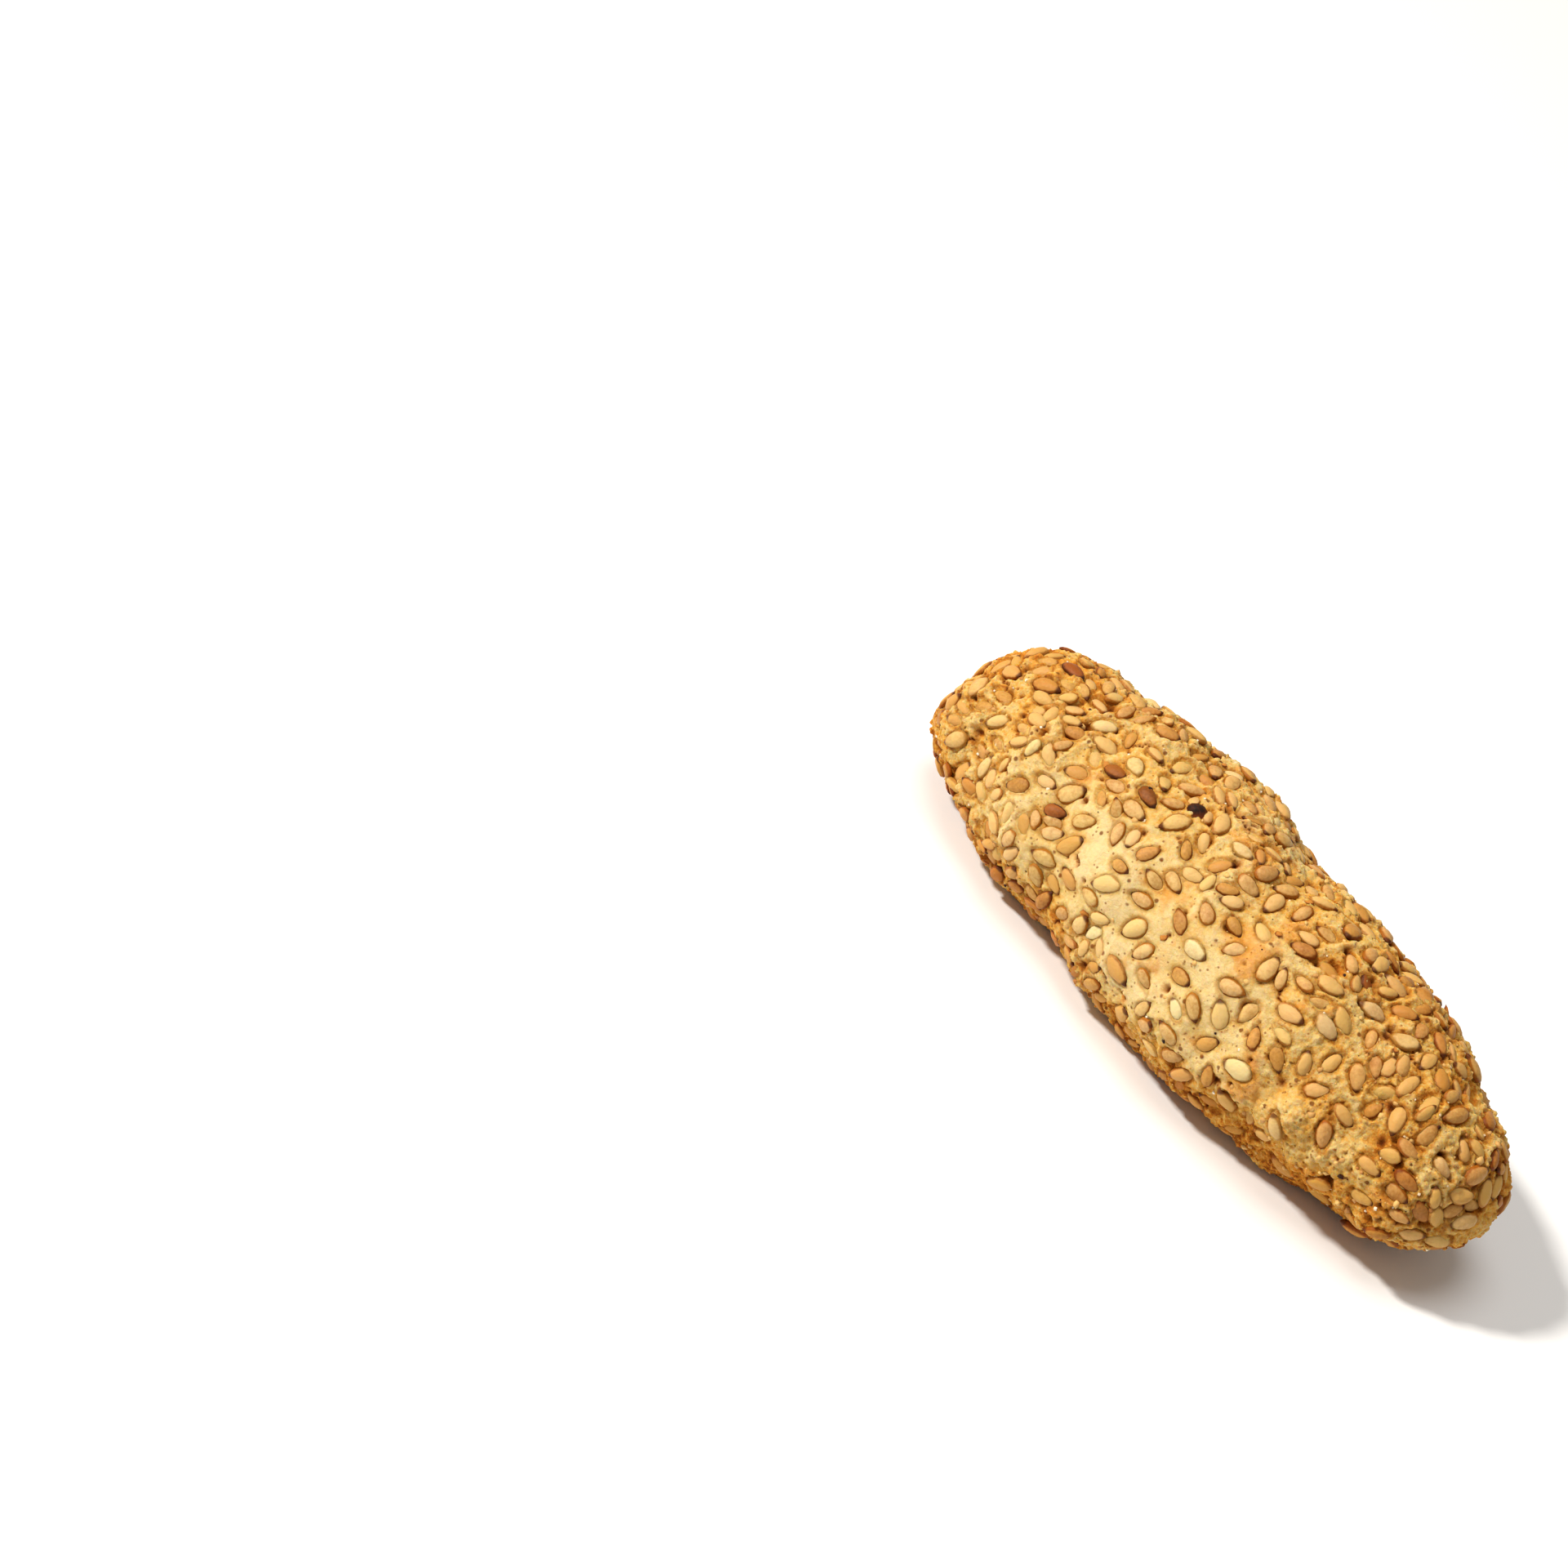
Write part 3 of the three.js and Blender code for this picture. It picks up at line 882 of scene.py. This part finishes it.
def copy_onto(name, shapes, placed, tones):
    """One mesh holding a copy of a shape at every place, with the numbers its material reads.

    Nothing pokes through the baking sheet: what would is flattened against it.
    """
    points, faces, stations, tone, baked, start = [], [], [], [], [], 0
    bake = bake_at(placed["middle"])
    for row in range(len(placed["middle"])):
        shape = shapes[row % len(shapes)]
        local = read_points(shape)
        axes = np.stack([placed["forward"][row], placed["sideways"][row], placed["upward"][row]])
        placed_points = (local * placed["size"][row]) @ axes + placed["middle"][row]
        placed_points[:, 2] = np.maximum(placed_points[:, 2], 0)
        points.append(placed_points)
        faces.extend([[start + v for v in face.vertices] for face in shape.data.polygons])
        stations.append(local + (0.5, 0, 0))
        tone.append(np.full(len(local), tones[row]))
        baked.append(np.full(len(local), bake[row]))
        start += len(local)
    mesh = bpy.data.meshes.new(name)
    mesh.from_pydata((np.concatenate(points) * MM).tolist(), [], faces)
    piece = bpy.data.objects.new(name, mesh)
    bpy.context.collection.objects.link(piece)
    mesh.polygons.foreach_set("use_smooth", [True] * len(mesh.polygons))
    lengthwise, _, upward = np.concatenate(stations).T
    add_attribute(piece, "lengthwise", lengthwise)
    add_attribute(piece, "upright", 2 * upward)
    add_attribute(piece, "tone", np.concatenate(tone))
    add_attribute(piece, "bake", np.concatenate(baked))
    return piece


# %% Sort the seeds into kinds
KIND_DRAW = 97
KIND_SHARES = {"straw": 0.76, "toasted": 0.19, "white": 0.045, "dark": 0.005}

drawn = draw_table(KIND_DRAW, len(seeds["middle"]), 2)
limits = np.cumsum(list(KIND_SHARES.values()))
kinds = np.array(list(KIND_SHARES))[np.searchsorted(limits[:-1], drawn[:, 0] * limits[-1])]
kinds[: len(NOTABLE_SEEDS)] = [row[4] for row in NOTABLE_SEEDS]
seed_pieces = {}
for kind in KIND_SHARES:
    rows = np.nonzero(kinds == kind)[0]
    seed_pieces[kind] = copy_onto(f"seeds_{kind}", seed_shapes, pick(seeds, rows), drawn[rows, 1])
    print(kind, "seeds:", len(rows))
for shape in seed_shapes:
    bpy.data.objects.remove(shape)

# %% [markdown]
# ## Crumbs and sugar
#
# Between the seeds the crust sheds crumbs and flakes, some crumbs have burnt black, and a few
# grains of sugar catch the light. A crumb is a small ball of twenty faces, or of eighty where it
# is burnt, pulled out of shape. A flake is such a ball laid flat, and a grain of sugar is a tiny
# bevelled block.

# %% How the crumbs, flakes and sugar lie
# Each kind: draw, count, sizes in mm, flatness and how far it is sunk, as a share of its length.
STREWN = {
    "crumbs": (61, 1500, (0.22, 1.05), 0.75, 0.1),
    "sugar_grains": (71, 260, (0.22, 0.42), 0.9, 0.1),
    "burnt_crumbs": (31, 170, (0.2, 0.6), 0.7, 0.1),
    "crust_flakes": (59, 70, (0.7, 1.7), 0.35, 0.05),
}
# Some that catch the eye: mm along, degrees round, heading, length in mm and tilt.
LAID_BY_HAND = {
    "burnt_crumbs": [(-7.6, 107.5, 20, 2.4, 0), (-12.6, 116, 70, 0.8, 0), (31, 176, 0, 0.8, 0)],
    "crust_flakes": [(23.6, 52, 20, 2.8, 38), (24.6, 58, 80, 1.7, 25), (-19.5, 135.5, 60, 1.5, 0)],
}
FLATNESS_BY_HAND = {"burnt_crumbs": 0.9, "crust_flakes": 0.35}
SUNK_BY_HAND = {"burnt_crumbs": 0.02, "crust_flakes": -0.12}
SLIMNESS, SLIMNESS_BY_HAND = (0.7, 1), 0.75
STREWN_TILT, STREWN_LOWEST, FEWER_ON_FACE = 0.6, 0.8, 0.8
RAY_START = 3


def rest_on(surface, grains, sunk):
    """Moves grains onto the dough's real surface, which is felt along a ray from outside."""
    for row, out in enumerate(grains["upward"]):
        start = Vector(grains["middle"][row] + out * RAY_START) * MM
        hit = surface.ray_cast(start, Vector(-out))[0]
        if hit is not None:
            grains["middle"][row] = np.array(hit) / MM - out * sunk * grains["size"][row, 0]
    return grains


def strew(seed, count, sizes, flatness, sunk):
    """Small grains strewn at random, mostly away from the near face, and a tone for each."""
    drawn = draw_table(seed, count, 7)
    along, turn = drawn_place(drawn[:, 0], drawn[:, 1])
    wanted = drawn[:, 6] > FEWER_ON_FACE * face_share(along, turn)
    wanted &= dough_points(along, turn)[:, 2] > STREWN_LOWEST
    drawn, along, turn = drawn[wanted], along[wanted], turn[wanted]
    size = between(*sizes, drawn[:, 3] ** 2)
    grains = lay_seeds(
        along, turn, 2 * math.pi * drawn[:, 2], size, size * between(*SLIMNESS, drawn[:, 4]),
        np.zeros(len(size)), between(-STREWN_TILT, STREWN_TILT, drawn[:, 5]), flatness,
    )
    return rest_on(surface, grains, sunk), drawn[:, 6]


def lay_by_hand(rows, flatness, sunk):
    mm_along, around, heading, length, tilt = np.array(rows, dtype=float).T
    grains = lay_seeds(
        *named_place(mm_along, around), np.radians(heading), length, SLIMNESS_BY_HAND * length,
        np.zeros(len(rows)), np.radians(tilt), flatness,
    )
    return rest_on(surface, grains, sunk)


# %% Model one of each and strew them over the dough
CRUMB_UNEVENNESS, FRAGMENT_UNEVENNESS, CRUMB_FINENESS = 0.45, 0.5, 2.2
SUGAR_SIDE, SUGAR_BEVEL = 0.9, 0.1


def model_crumb(subdivisions, unevenness):
    bpy.ops.mesh.primitive_ico_sphere_add(subdivisions=subdivisions, radius=0.5)
    crumb = bpy.context.object
    points = read_points(crumb)
    dents = np.array([noise.noise(Vector(point * CRUMB_FINENESS)) for point in points])
    write_points(crumb, points * (1 + unevenness * dents)[:, None])
    return crumb


def model_sugar():
    bpy.ops.mesh.primitive_cube_add(size=SUGAR_SIDE)
    sugar = bpy.context.object
    bpy.ops.object.mode_set(mode="EDIT")
    bpy.ops.mesh.select_all(action="SELECT")
    bpy.ops.mesh.bevel(offset=SUGAR_BEVEL, segments=1, affect="EDGES")
    bpy.ops.object.mode_set(mode="OBJECT")
    return sugar


surface = BVHTree.FromObject(dough, bpy.context.evaluated_depsgraph_get())
grain_shapes = {
    "crumbs": model_crumb(1, CRUMB_UNEVENNESS),
    "sugar_grains": model_sugar(),
    "burnt_crumbs": model_crumb(2, FRAGMENT_UNEVENNESS),
    "crust_flakes": model_crumb(2, FRAGMENT_UNEVENNESS),
}
grain_pieces = {}
for name, settings in STREWN.items():
    placed, tones = strew(*settings)
    if name in LAID_BY_HAND:
        rows = LAID_BY_HAND[name]
        placed = join(lay_by_hand(rows, FLATNESS_BY_HAND[name], SUNK_BY_HAND[name]), placed)
        tones = np.append(np.zeros(len(rows)), tones)
    grain_pieces[name] = copy_onto(name, [grain_shapes[name]], placed, tones)
    print(name, "faces:", len(grain_pieces[name].data.polygons))
sugar_faces = grain_pieces["sugar_grains"].data.polygons
sugar_faces.foreach_set("use_smooth", [False] * len(sugar_faces))
for shape in grain_shapes.values():
    bpy.data.objects.remove(shape)

# %% [markdown]
# ## Materials
#
# Two effects come back in every baked surface, so each is a node group: uneven tan, a soft mask of
# light and dark patches, and fine grain, a bump too small to model. Everything else is told apart
# by the numbers that the meshes carry. Colours are linear, and a scale counts patches to a metre.

# %% Numbers that the dough's material reads
# Stains of darker crust: mm along, degrees round, reach in mm.
STAINS = [
    (9, 129, 3.0), (0, 97, 3.0), (35, 171, 2.4), (26, 205, 5.0), (-19, 135, 1.4), (-9, 108, 2.2),
    (-34, 95, 4.0), (18, 172, 2.6), (10, 110, 2.6), (-28, 92, 2.4),
]
add_attribute(dough, "bake", bake_at(points))
add_attribute(dough, "hollow", hollow)
add_attribute(dough, "seat_edge_tan_and_shade", seat_edge_tan_and_shade)
add_attribute(dough, "relief", relief)
add_attribute(dough, "stain", np.max([nearness(points, *place) for place in STAINS], axis=0))


# %% Helpers for node trees
def feed(tree, socket, value):
    """Links a socket to another, or sets it to a number or a colour."""
    if isinstance(value, bpy.types.NodeSocket):
        tree.links.new(value, socket)
    else:
        socket.default_value = (*value, 1) if socket.type == "RGBA" else value


def add_node(tree, kind, settings=None, **inputs):
    """A node with its settings and inputs. An input goes by its name, or as i and its number."""
    node = tree.nodes.new(kind)
    for name, value in (settings or {}).items():
        setattr(node, name, value)
    for name, value in inputs.items():
        numbered = name[0] == "i" and name[1:].isdigit()
        feed(tree, node.inputs[int(name[1:]) if numbered else name.replace("_", " ")], value)
    return node


def do_math(tree, operation, first, second=0.0, clamp=False):
    settings = {"operation": operation, "use_clamp": clamp}
    return add_node(tree, "ShaderNodeMath", settings, i0=first, i1=second).outputs[0]


def times(tree, first, second, clamp=False):
    return do_math(tree, "MULTIPLY", first, second, clamp)


def plus(tree, first, second, clamp=False):
    return do_math(tree, "ADD", first, second, clamp)


def read_attribute(tree, name):
    return add_node(tree, "ShaderNodeAttribute", {"attribute_name": name}).outputs["Fac"]


def object_place(tree):
    return add_node(tree, "ShaderNodeTexCoord").outputs["Object"]


def add_noise(tree, place, scale, detail, roughness):
    return add_node(
        tree, "ShaderNodeTexNoise", Vector=place, Scale=scale, Detail=detail, Roughness=roughness
    ).outputs[0]


def soft_step(tree, value, low, high):
    """0 below low and 1 above high, or the other way round where low is above high."""
    settings = {"interpolation_type": "SMOOTHSTEP"}
    return add_node(tree, "ShaderNodeMapRange", settings, i0=value, i1=low, i2=high).outputs[0]


def colour_ramp(tree, factor, stops):
    """A ramp through stops of a place and a colour."""
    node = add_node(tree, "ShaderNodeValToRGB", Fac=factor)
    ramp = node.color_ramp
    while len(ramp.elements) < len(stops):
        ramp.elements.new(0.5)
    for element, (place, colour) in zip(ramp.elements, stops):
        element.position = place
        element.color = (*colour, 1)
    return node.outputs["Color"]


def mix_colour(tree, share, first, second, blend="MIX"):
    settings = {"data_type": "RGBA", "blend_type": blend}
    return add_node(tree, "ShaderNodeMix", settings, i0=share, i6=first, i7=second).outputs[2]


# %% The two shared effects
MOTTLING_FINENESS, BROAD_SHARE, TAN_MIDDLE = 7.0, 1.3, 1.15


def new_group(name, inputs, output, kind):
    """A node group with number inputs and one output, and the sockets to work with inside it."""
    group = bpy.data.node_groups.new(name, "ShaderNodeTree")
    for label, default in inputs.items():
        socket = group.interface.new_socket(label, in_out="INPUT", socket_type="NodeSocketFloat")
        socket.default_value = default
    group.interface.new_socket(output, in_out="OUTPUT", socket_type=kind)
    given = add_node(group, "NodeGroupInput").outputs
    return group, given, add_node(group, "NodeGroupOutput").inputs[output]


def make_tan_group():
    """Uneven tan: a mask round 0 of broad patches with finer mottling on them."""
    inputs = {"Patch Scale": 120.0, "Amount": 0.3}
    group, given, mask = new_group("uneven tan", inputs, "Mask", "NodeSocketFloat")
    place = object_place(group)
    broad = add_noise(group, place, given["Patch Scale"], 3.0, 0.55)
    fine = add_noise(group, place, times(group, given["Patch Scale"], MOTTLING_FINENESS), 2.0, 0.6)
    both = plus(group, times(group, broad, BROAD_SHARE), fine)
    feed(group, mask, times(group, plus(group, both, -TAN_MIDDLE), given["Amount"]))
    return group


def make_grain_group():
    """Fine grain: a bump of noise for crust and seed coats."""
    inputs = {"Grain Scale": 2500.0, "Depth": 0.0001}
    group, given, normal = new_group("fine grain", inputs, "Normal", "NodeSocketVector")
    grain = add_noise(group, object_place(group), given["Grain Scale"], 4.0, 0.62)
    bump = add_node(group, "ShaderNodeBump", Strength=1.0, Distance=given["Depth"], Height=grain)
    feed(group, normal, bump.outputs[0])
    return group


tan_group, grain_group = make_tan_group(), make_grain_group()


# %% What all the materials share
# Light goes this far into dough and seeds, in metres, and red light goes furthest.
GLOW_DEPTH, GLOW_COLOURS = 0.0008, (1.0, 0.45, 0.15)


def new_material(name, roughness, glow, shine=0.5):
    """A baked surface. Glow is the share of light that goes into it and comes out beside."""
    material = bpy.data.materials.new(name)
    material.use_nodes = True
    shader = material.node_tree.nodes["Principled BSDF"]
    shader.inputs["Roughness"].default_value = roughness
    shader.inputs["Specular IOR Level"].default_value = shine
    shader.inputs["Subsurface Weight"].default_value = glow
    shader.inputs["Subsurface Radius"].default_value = GLOW_COLOURS
    shader.inputs["Subsurface Scale"].default_value = GLOW_DEPTH
    return material, material.node_tree, shader


def place_group(tree, group, **inputs):
    return add_node(tree, "ShaderNodeGroup", {"node_tree": group}, **inputs).outputs[0]


def dress(tree, shader, colour, grain_scale=0, depth=0):
    """Gives the shader its colour, and fine grain where it has any."""
    feed(tree, shader.inputs["Base Color"], colour)
    if grain_scale:
        grain = place_group(tree, grain_group, Grain_Scale=grain_scale, Depth=depth)
        feed(tree, shader.inputs["Normal"], grain)


# %% [markdown]
# The dough's colour runs from cream to dark brown by how strongly each spot is baked. Browner dough
# is also more unevenly baked. Shade is painted in as bake: crevices come out browner and darker than
# the dough round them and raised dough paler, and the edges of seats are browner, partly crust and
# partly painted shade. Stains, scattered specks and pores, the seats and the pits are laid over that,
# one by one, each in an orange brown of its own rather than grey; the pores, seats and pits carry
# painted shade.

# %% The dough
CRUST_COLOURS = [
    (0.0, (0.72, 0.565, 0.292)), (0.25, (0.69, 0.475, 0.168)), (0.5, (0.715, 0.378, 0.074)),
    (0.75, (0.61, 0.225, 0.02)), (1.0, (0.25, 0.06, 0.005)),
]
# Painted shade in the pits and cracks, deepening to near black in the deepest.
HOLLOW_SHADE_COLOURS = [
    (0.0, (0.60, 0.22, 0.02)), (0.5, (0.31, 0.078, 0.005)), (1.0, (0.10, 0.019, 0.002)),
]
HOLLOW_SHADE_SHARE = 1.2
FINE_SCALE, FINE_AMOUNT, LEAST_UNEVENNESS = 2300.0, 2.3, 0.12
PAINTED_SHADE_BY_RELIEF, BROWNER_AND_SHADED_SEATS, LEAST_BAKE = -0.36, 0.16, 0.6
STAIN_COLOUR, STAIN_SCALE, STAIN_PULL = (0.66, 0.25, 0.025), 210.0, 0.22
STAIN_EDGES, STAIN_SHARE = (0.57, 0.72), 0.6
# The seats' edges: browner crust and painted shade where seed meets dough.
SEAT_TAN_AND_SHADE_COLOUR, SEAT_SHARPNESS = (0.28, 0.078, 0.006), 3.2
SEAT_SHARE, SEAT_SHARE_OF_BAKE = 0.36, 1.1
GRAIN_DEPTH, GRAIN_DEPTH_OF_BAKE = 0.00014, 0.0008
# Specks and pores, whose darkness is partly painted shade: scale, share left out, reach as a share
# of their spacing, strength and colour.
SPECKS_AND_PORE_SHADE = [
    (600.0, 0.42, 0.21, 0.85, (0.16, 0.038, 0.004)), (1350.0, 0.42, 0.25, 0.7, (0.24, 0.07, 0.008)),
]


def scatter_dots(tree, place, scale, left_out, reach):
    """A mask of small round dots, with a share of them left out."""
    cells = add_node(tree, "ShaderNodeTexVoronoi", Vector=place, Scale=scale)
    chosen = do_math(tree, "GREATER_THAN", cells.outputs["Color"], left_out)
    return times(tree, soft_step(tree, cells.outputs["Distance"], reach, reach / 2), chosen)


def bake_of_spot(tree, place, baked, seat_edge_tan_and_shade):
    """How baked each spot is, unevenly, with shade painted into crevices and seats; never much paler
    than round it.
    """
    fine = plus(tree, add_noise(tree, place, FINE_SCALE, 3.0, 0.6), -0.5)
    patches = place_group(tree, tan_group, Patch_Scale=110.0, Amount=1.0)
    unevenness = plus(tree, patches, times(tree, fine, FINE_AMOUNT))
    bake = plus(tree, baked, times(tree, unevenness, plus(tree, baked, LEAST_UNEVENNESS)))
    # Painted shade: the relief makes crevices browner and darker, and raised dough paler.
    bake = plus(tree, bake, times(tree, read_attribute(tree, "relief"), PAINTED_SHADE_BY_RELIEF))
    bake = plus(tree, bake, times(tree, seat_edge_tan_and_shade, BROWNER_AND_SHADED_SEATS), clamp=True)
    return do_math(tree, "MAXIMUM", bake, times(tree, baked, LEAST_BAKE))


def make_dough_material():
    material, tree, shader = new_material("baked dough", roughness=0.75, glow=0.65, shine=0.06)
    place = object_place(tree)
    baked, seat_edge_tan_and_shade = read_attribute(tree, "bake"), read_attribute(tree, "seat_edge_tan_and_shade")
    crust = colour_ramp(tree, bake_of_spot(tree, place, baked, seat_edge_tan_and_shade), CRUST_COLOURS)
    stained = times(tree, read_attribute(tree, "stain"), STAIN_PULL)
    stained = plus(tree, add_noise(tree, place, STAIN_SCALE, 3.0, 0.6), stained)
    stained = times(tree, soft_step(tree, stained, *STAIN_EDGES), STAIN_SHARE)
    crust = mix_colour(tree, stained, crust, STAIN_COLOUR)
    # Specks of browner crust, and pores darkened as painted shade.
    for scale, left_out, reach, strength, colour in SPECKS_AND_PORE_SHADE:
        dots = times(tree, scatter_dots(tree, place, scale, left_out, reach), strength)
        crust = mix_colour(tree, dots, crust, colour)
    # Painted shade and browner crust along the edges of the seats.
    strength = plus(tree, times(tree, baked, SEAT_SHARE_OF_BAKE), SEAT_SHARE, clamp=True)
    seat = times(tree, do_math(tree, "POWER", seat_edge_tan_and_shade, SEAT_SHARPNESS), strength)
    crust = mix_colour(tree, seat, crust, SEAT_TAN_AND_SHADE_COLOUR)
    hollow = read_attribute(tree, "hollow")
    # Painted shade in the pits and cracks.
    depths = colour_ramp(tree, hollow, HOLLOW_SHADE_COLOURS)
    crust = mix_colour(tree, times(tree, hollow, HOLLOW_SHADE_SHARE, clamp=True), crust, depths)
    depth = plus(tree, times(tree, baked, GRAIN_DEPTH_OF_BAKE), GRAIN_DEPTH)
    dress(tree, shader, crust, grain_scale=2600.0, depth=depth)
    return material


dough.data.materials.append(make_dough_material())
dough.data.polygons.foreach_set("use_smooth", [True] * len(dough.data.polygons))

# %% [markdown]
# A seed's coat is palest on its crown, golden to brown round its rim, and darkest at its tip, where
# it was joined to the pod. The rim is partly toasted and partly painted shade: the dark outline where
# seed meets dough, and the darker sides of a seed lit from above. The numbers on the mesh say where
# each of these is. The four kinds
# differ only in their colours and in how much their tones vary. A seed's one random tone,
# multiplied and without its whole part, gives two more random numbers, for its hue and its tip.

# %% The seeds
# Each kind: crown, rim, partly toasted and partly painted shade, tip, and how much the share of
# crown colour varies between seeds.
SEED_COLOURS = {
    "straw": ((0.70, 0.485, 0.205), (0.36, 0.135, 0.012), (0.08, 0.017, 0.002), 0.85),
    "toasted": ((0.58, 0.315, 0.088), (0.23, 0.066, 0.004), (0.06, 0.012, 0.002), 0.6),
    "white": ((0.77, 0.62, 0.35), (0.45, 0.26, 0.07), (0.14, 0.05, 0.01), 0.4),
    "dark": ((0.33, 0.11, 0.02), (0.09, 0.024, 0.004), (0.04, 0.01, 0.003), 0.6),
}
TINTS = ((1.0, 0.95, 0.97), (0.98, 1.0, 0.86))
BROWNING, BROWNING_FROM = (0.81, 0.55, 0.21), (0.02, 0.55)
CROWN, TIP = (0.18, 0.62), (0.80, 0.90)
PLAIN_TIPS, PLAIN_TIP_SHARE, DARK_TIP_SHARE = 0.3, 0.3, 0.6


def another_random(tree, tone, factor):
    return do_math(tree, "FRACT", times(tree, tone, factor))


def make_seed_material(kind, crown, rim, tip, variation):
    material, tree, shader = new_material(f"{kind} seed coat", roughness=0.5, glow=0.4, shine=0.16)
    tone = read_attribute(tree, "tone")
    # Pale crown, darker rim on the sides: partly toasting, partly painted shade.
    share = soft_step(tree, read_attribute(tree, "upright"), *CROWN)
    share = plus(tree, share, times(tree, plus(tree, tone, -0.5), variation))
    mottling = place_group(tree, tan_group, Patch_Scale=420.0, Amount=0.95)
    coat = mix_colour(tree, plus(tree, share, mottling, clamp=True), rim, crown)
    tint = mix_colour(tree, another_random(tree, tone, 13.0), *TINTS)
    coat = mix_colour(tree, 1.0, coat, tint, "MULTIPLY")
    # Seeds brown with the dough under them, so low down this also carries painted shade.
    browned = soft_step(tree, read_attribute(tree, "bake"), *BROWNING_FROM)
    coat = mix_colour(tree, browned, coat, BROWNING, "MULTIPLY")
    dark_tip = do_math(tree, "GREATER_THAN", another_random(tree, tone, 7.0), PLAIN_TIPS)
    strength = plus(tree, times(tree, dark_tip, DARK_TIP_SHARE), PLAIN_TIP_SHARE)
    at_tip = soft_step(tree, read_attribute(tree, "lengthwise"), *TIP)
    coat = mix_colour(tree, times(tree, at_tip, strength), coat, tip)
    dress(tree, shader, coat, grain_scale=1300.0, depth=0.00014)
    return material


for kind, colours in SEED_COLOURS.items():
    seed_pieces[kind].data.materials.append(make_seed_material(kind, *colours))

# %% [markdown]
# Crumbs and sugar are each a little lighter or darker by their tone. Flakes and burnt crumbs have one
# colour on top and another below: burnt crumbs are black on top, flakes darker below.

# %% Crumbs, flakes and sugar
# Each piece: its material, what the colour follows, low and high colour, roughness, glow, shine,
# the scale and amount of its mottling, and the scale and depth of its grain.
GRAIN_LOOKS = {
    "crumbs": (
        "crumb", "tone", (0.42, 0.15, 0.018), (0.78, 0.47, 0.14),
        0.65, 0.1, 0.5, 300.0, 0.7, 3000.0, 0.00008,
    ),
    "burnt_crumbs": (
        "burnt crumb", "upright", (0.20, 0.036, 0.004), (0.020, 0.008, 0.004),
        0.6, 0.1, 0.15, 500.0, 0.9, 3000.0, 0.0001,
    ),
    "crust_flakes": (
        "crust flake", "upright", (0.20, 0.045, 0.006), (0.52, 0.20, 0.03),
        0.6, 0.1, 0.15, 500.0, 0.9, 3000.0, 0.0001,
    ),
    "sugar_grains": (
        "sugar", "tone", (0.74, 0.52, 0.28), (0.93, 0.84, 0.66), 0.12, 0.0, 0.5, 500.0, 0.3,
    ),
}
FRAGMENT_TOP = (-0.3, 0.8)


def make_grain_material(name, follows, low, high, roughness, glow, shine, scale, amount, *grain):
    material, tree, shader = new_material(name, roughness, glow, shine)
    share = read_attribute(tree, follows)
    if follows == "upright":
        share = soft_step(tree, share, *FRAGMENT_TOP)
    mottling = place_group(tree, tan_group, Patch_Scale=scale, Amount=amount)
    share = plus(tree, share, mottling, clamp=True)
    dress(tree, shader, mix_colour(tree, share, low, high), *grain)
    return material


for name, looks in GRAIN_LOOKS.items():
    grain_pieces[name].data.materials.append(make_grain_material(*looks))

# %% [markdown]
# ## Put it on the frame
#
# All pieces ride on the cookie's one body, and the dough stands for the imported solid.

# %% Ride, replace and finish
for piece in (dough, *seed_pieces.values(), *grain_pieces.values()):
    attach(piece, "root")
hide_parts("cookie")
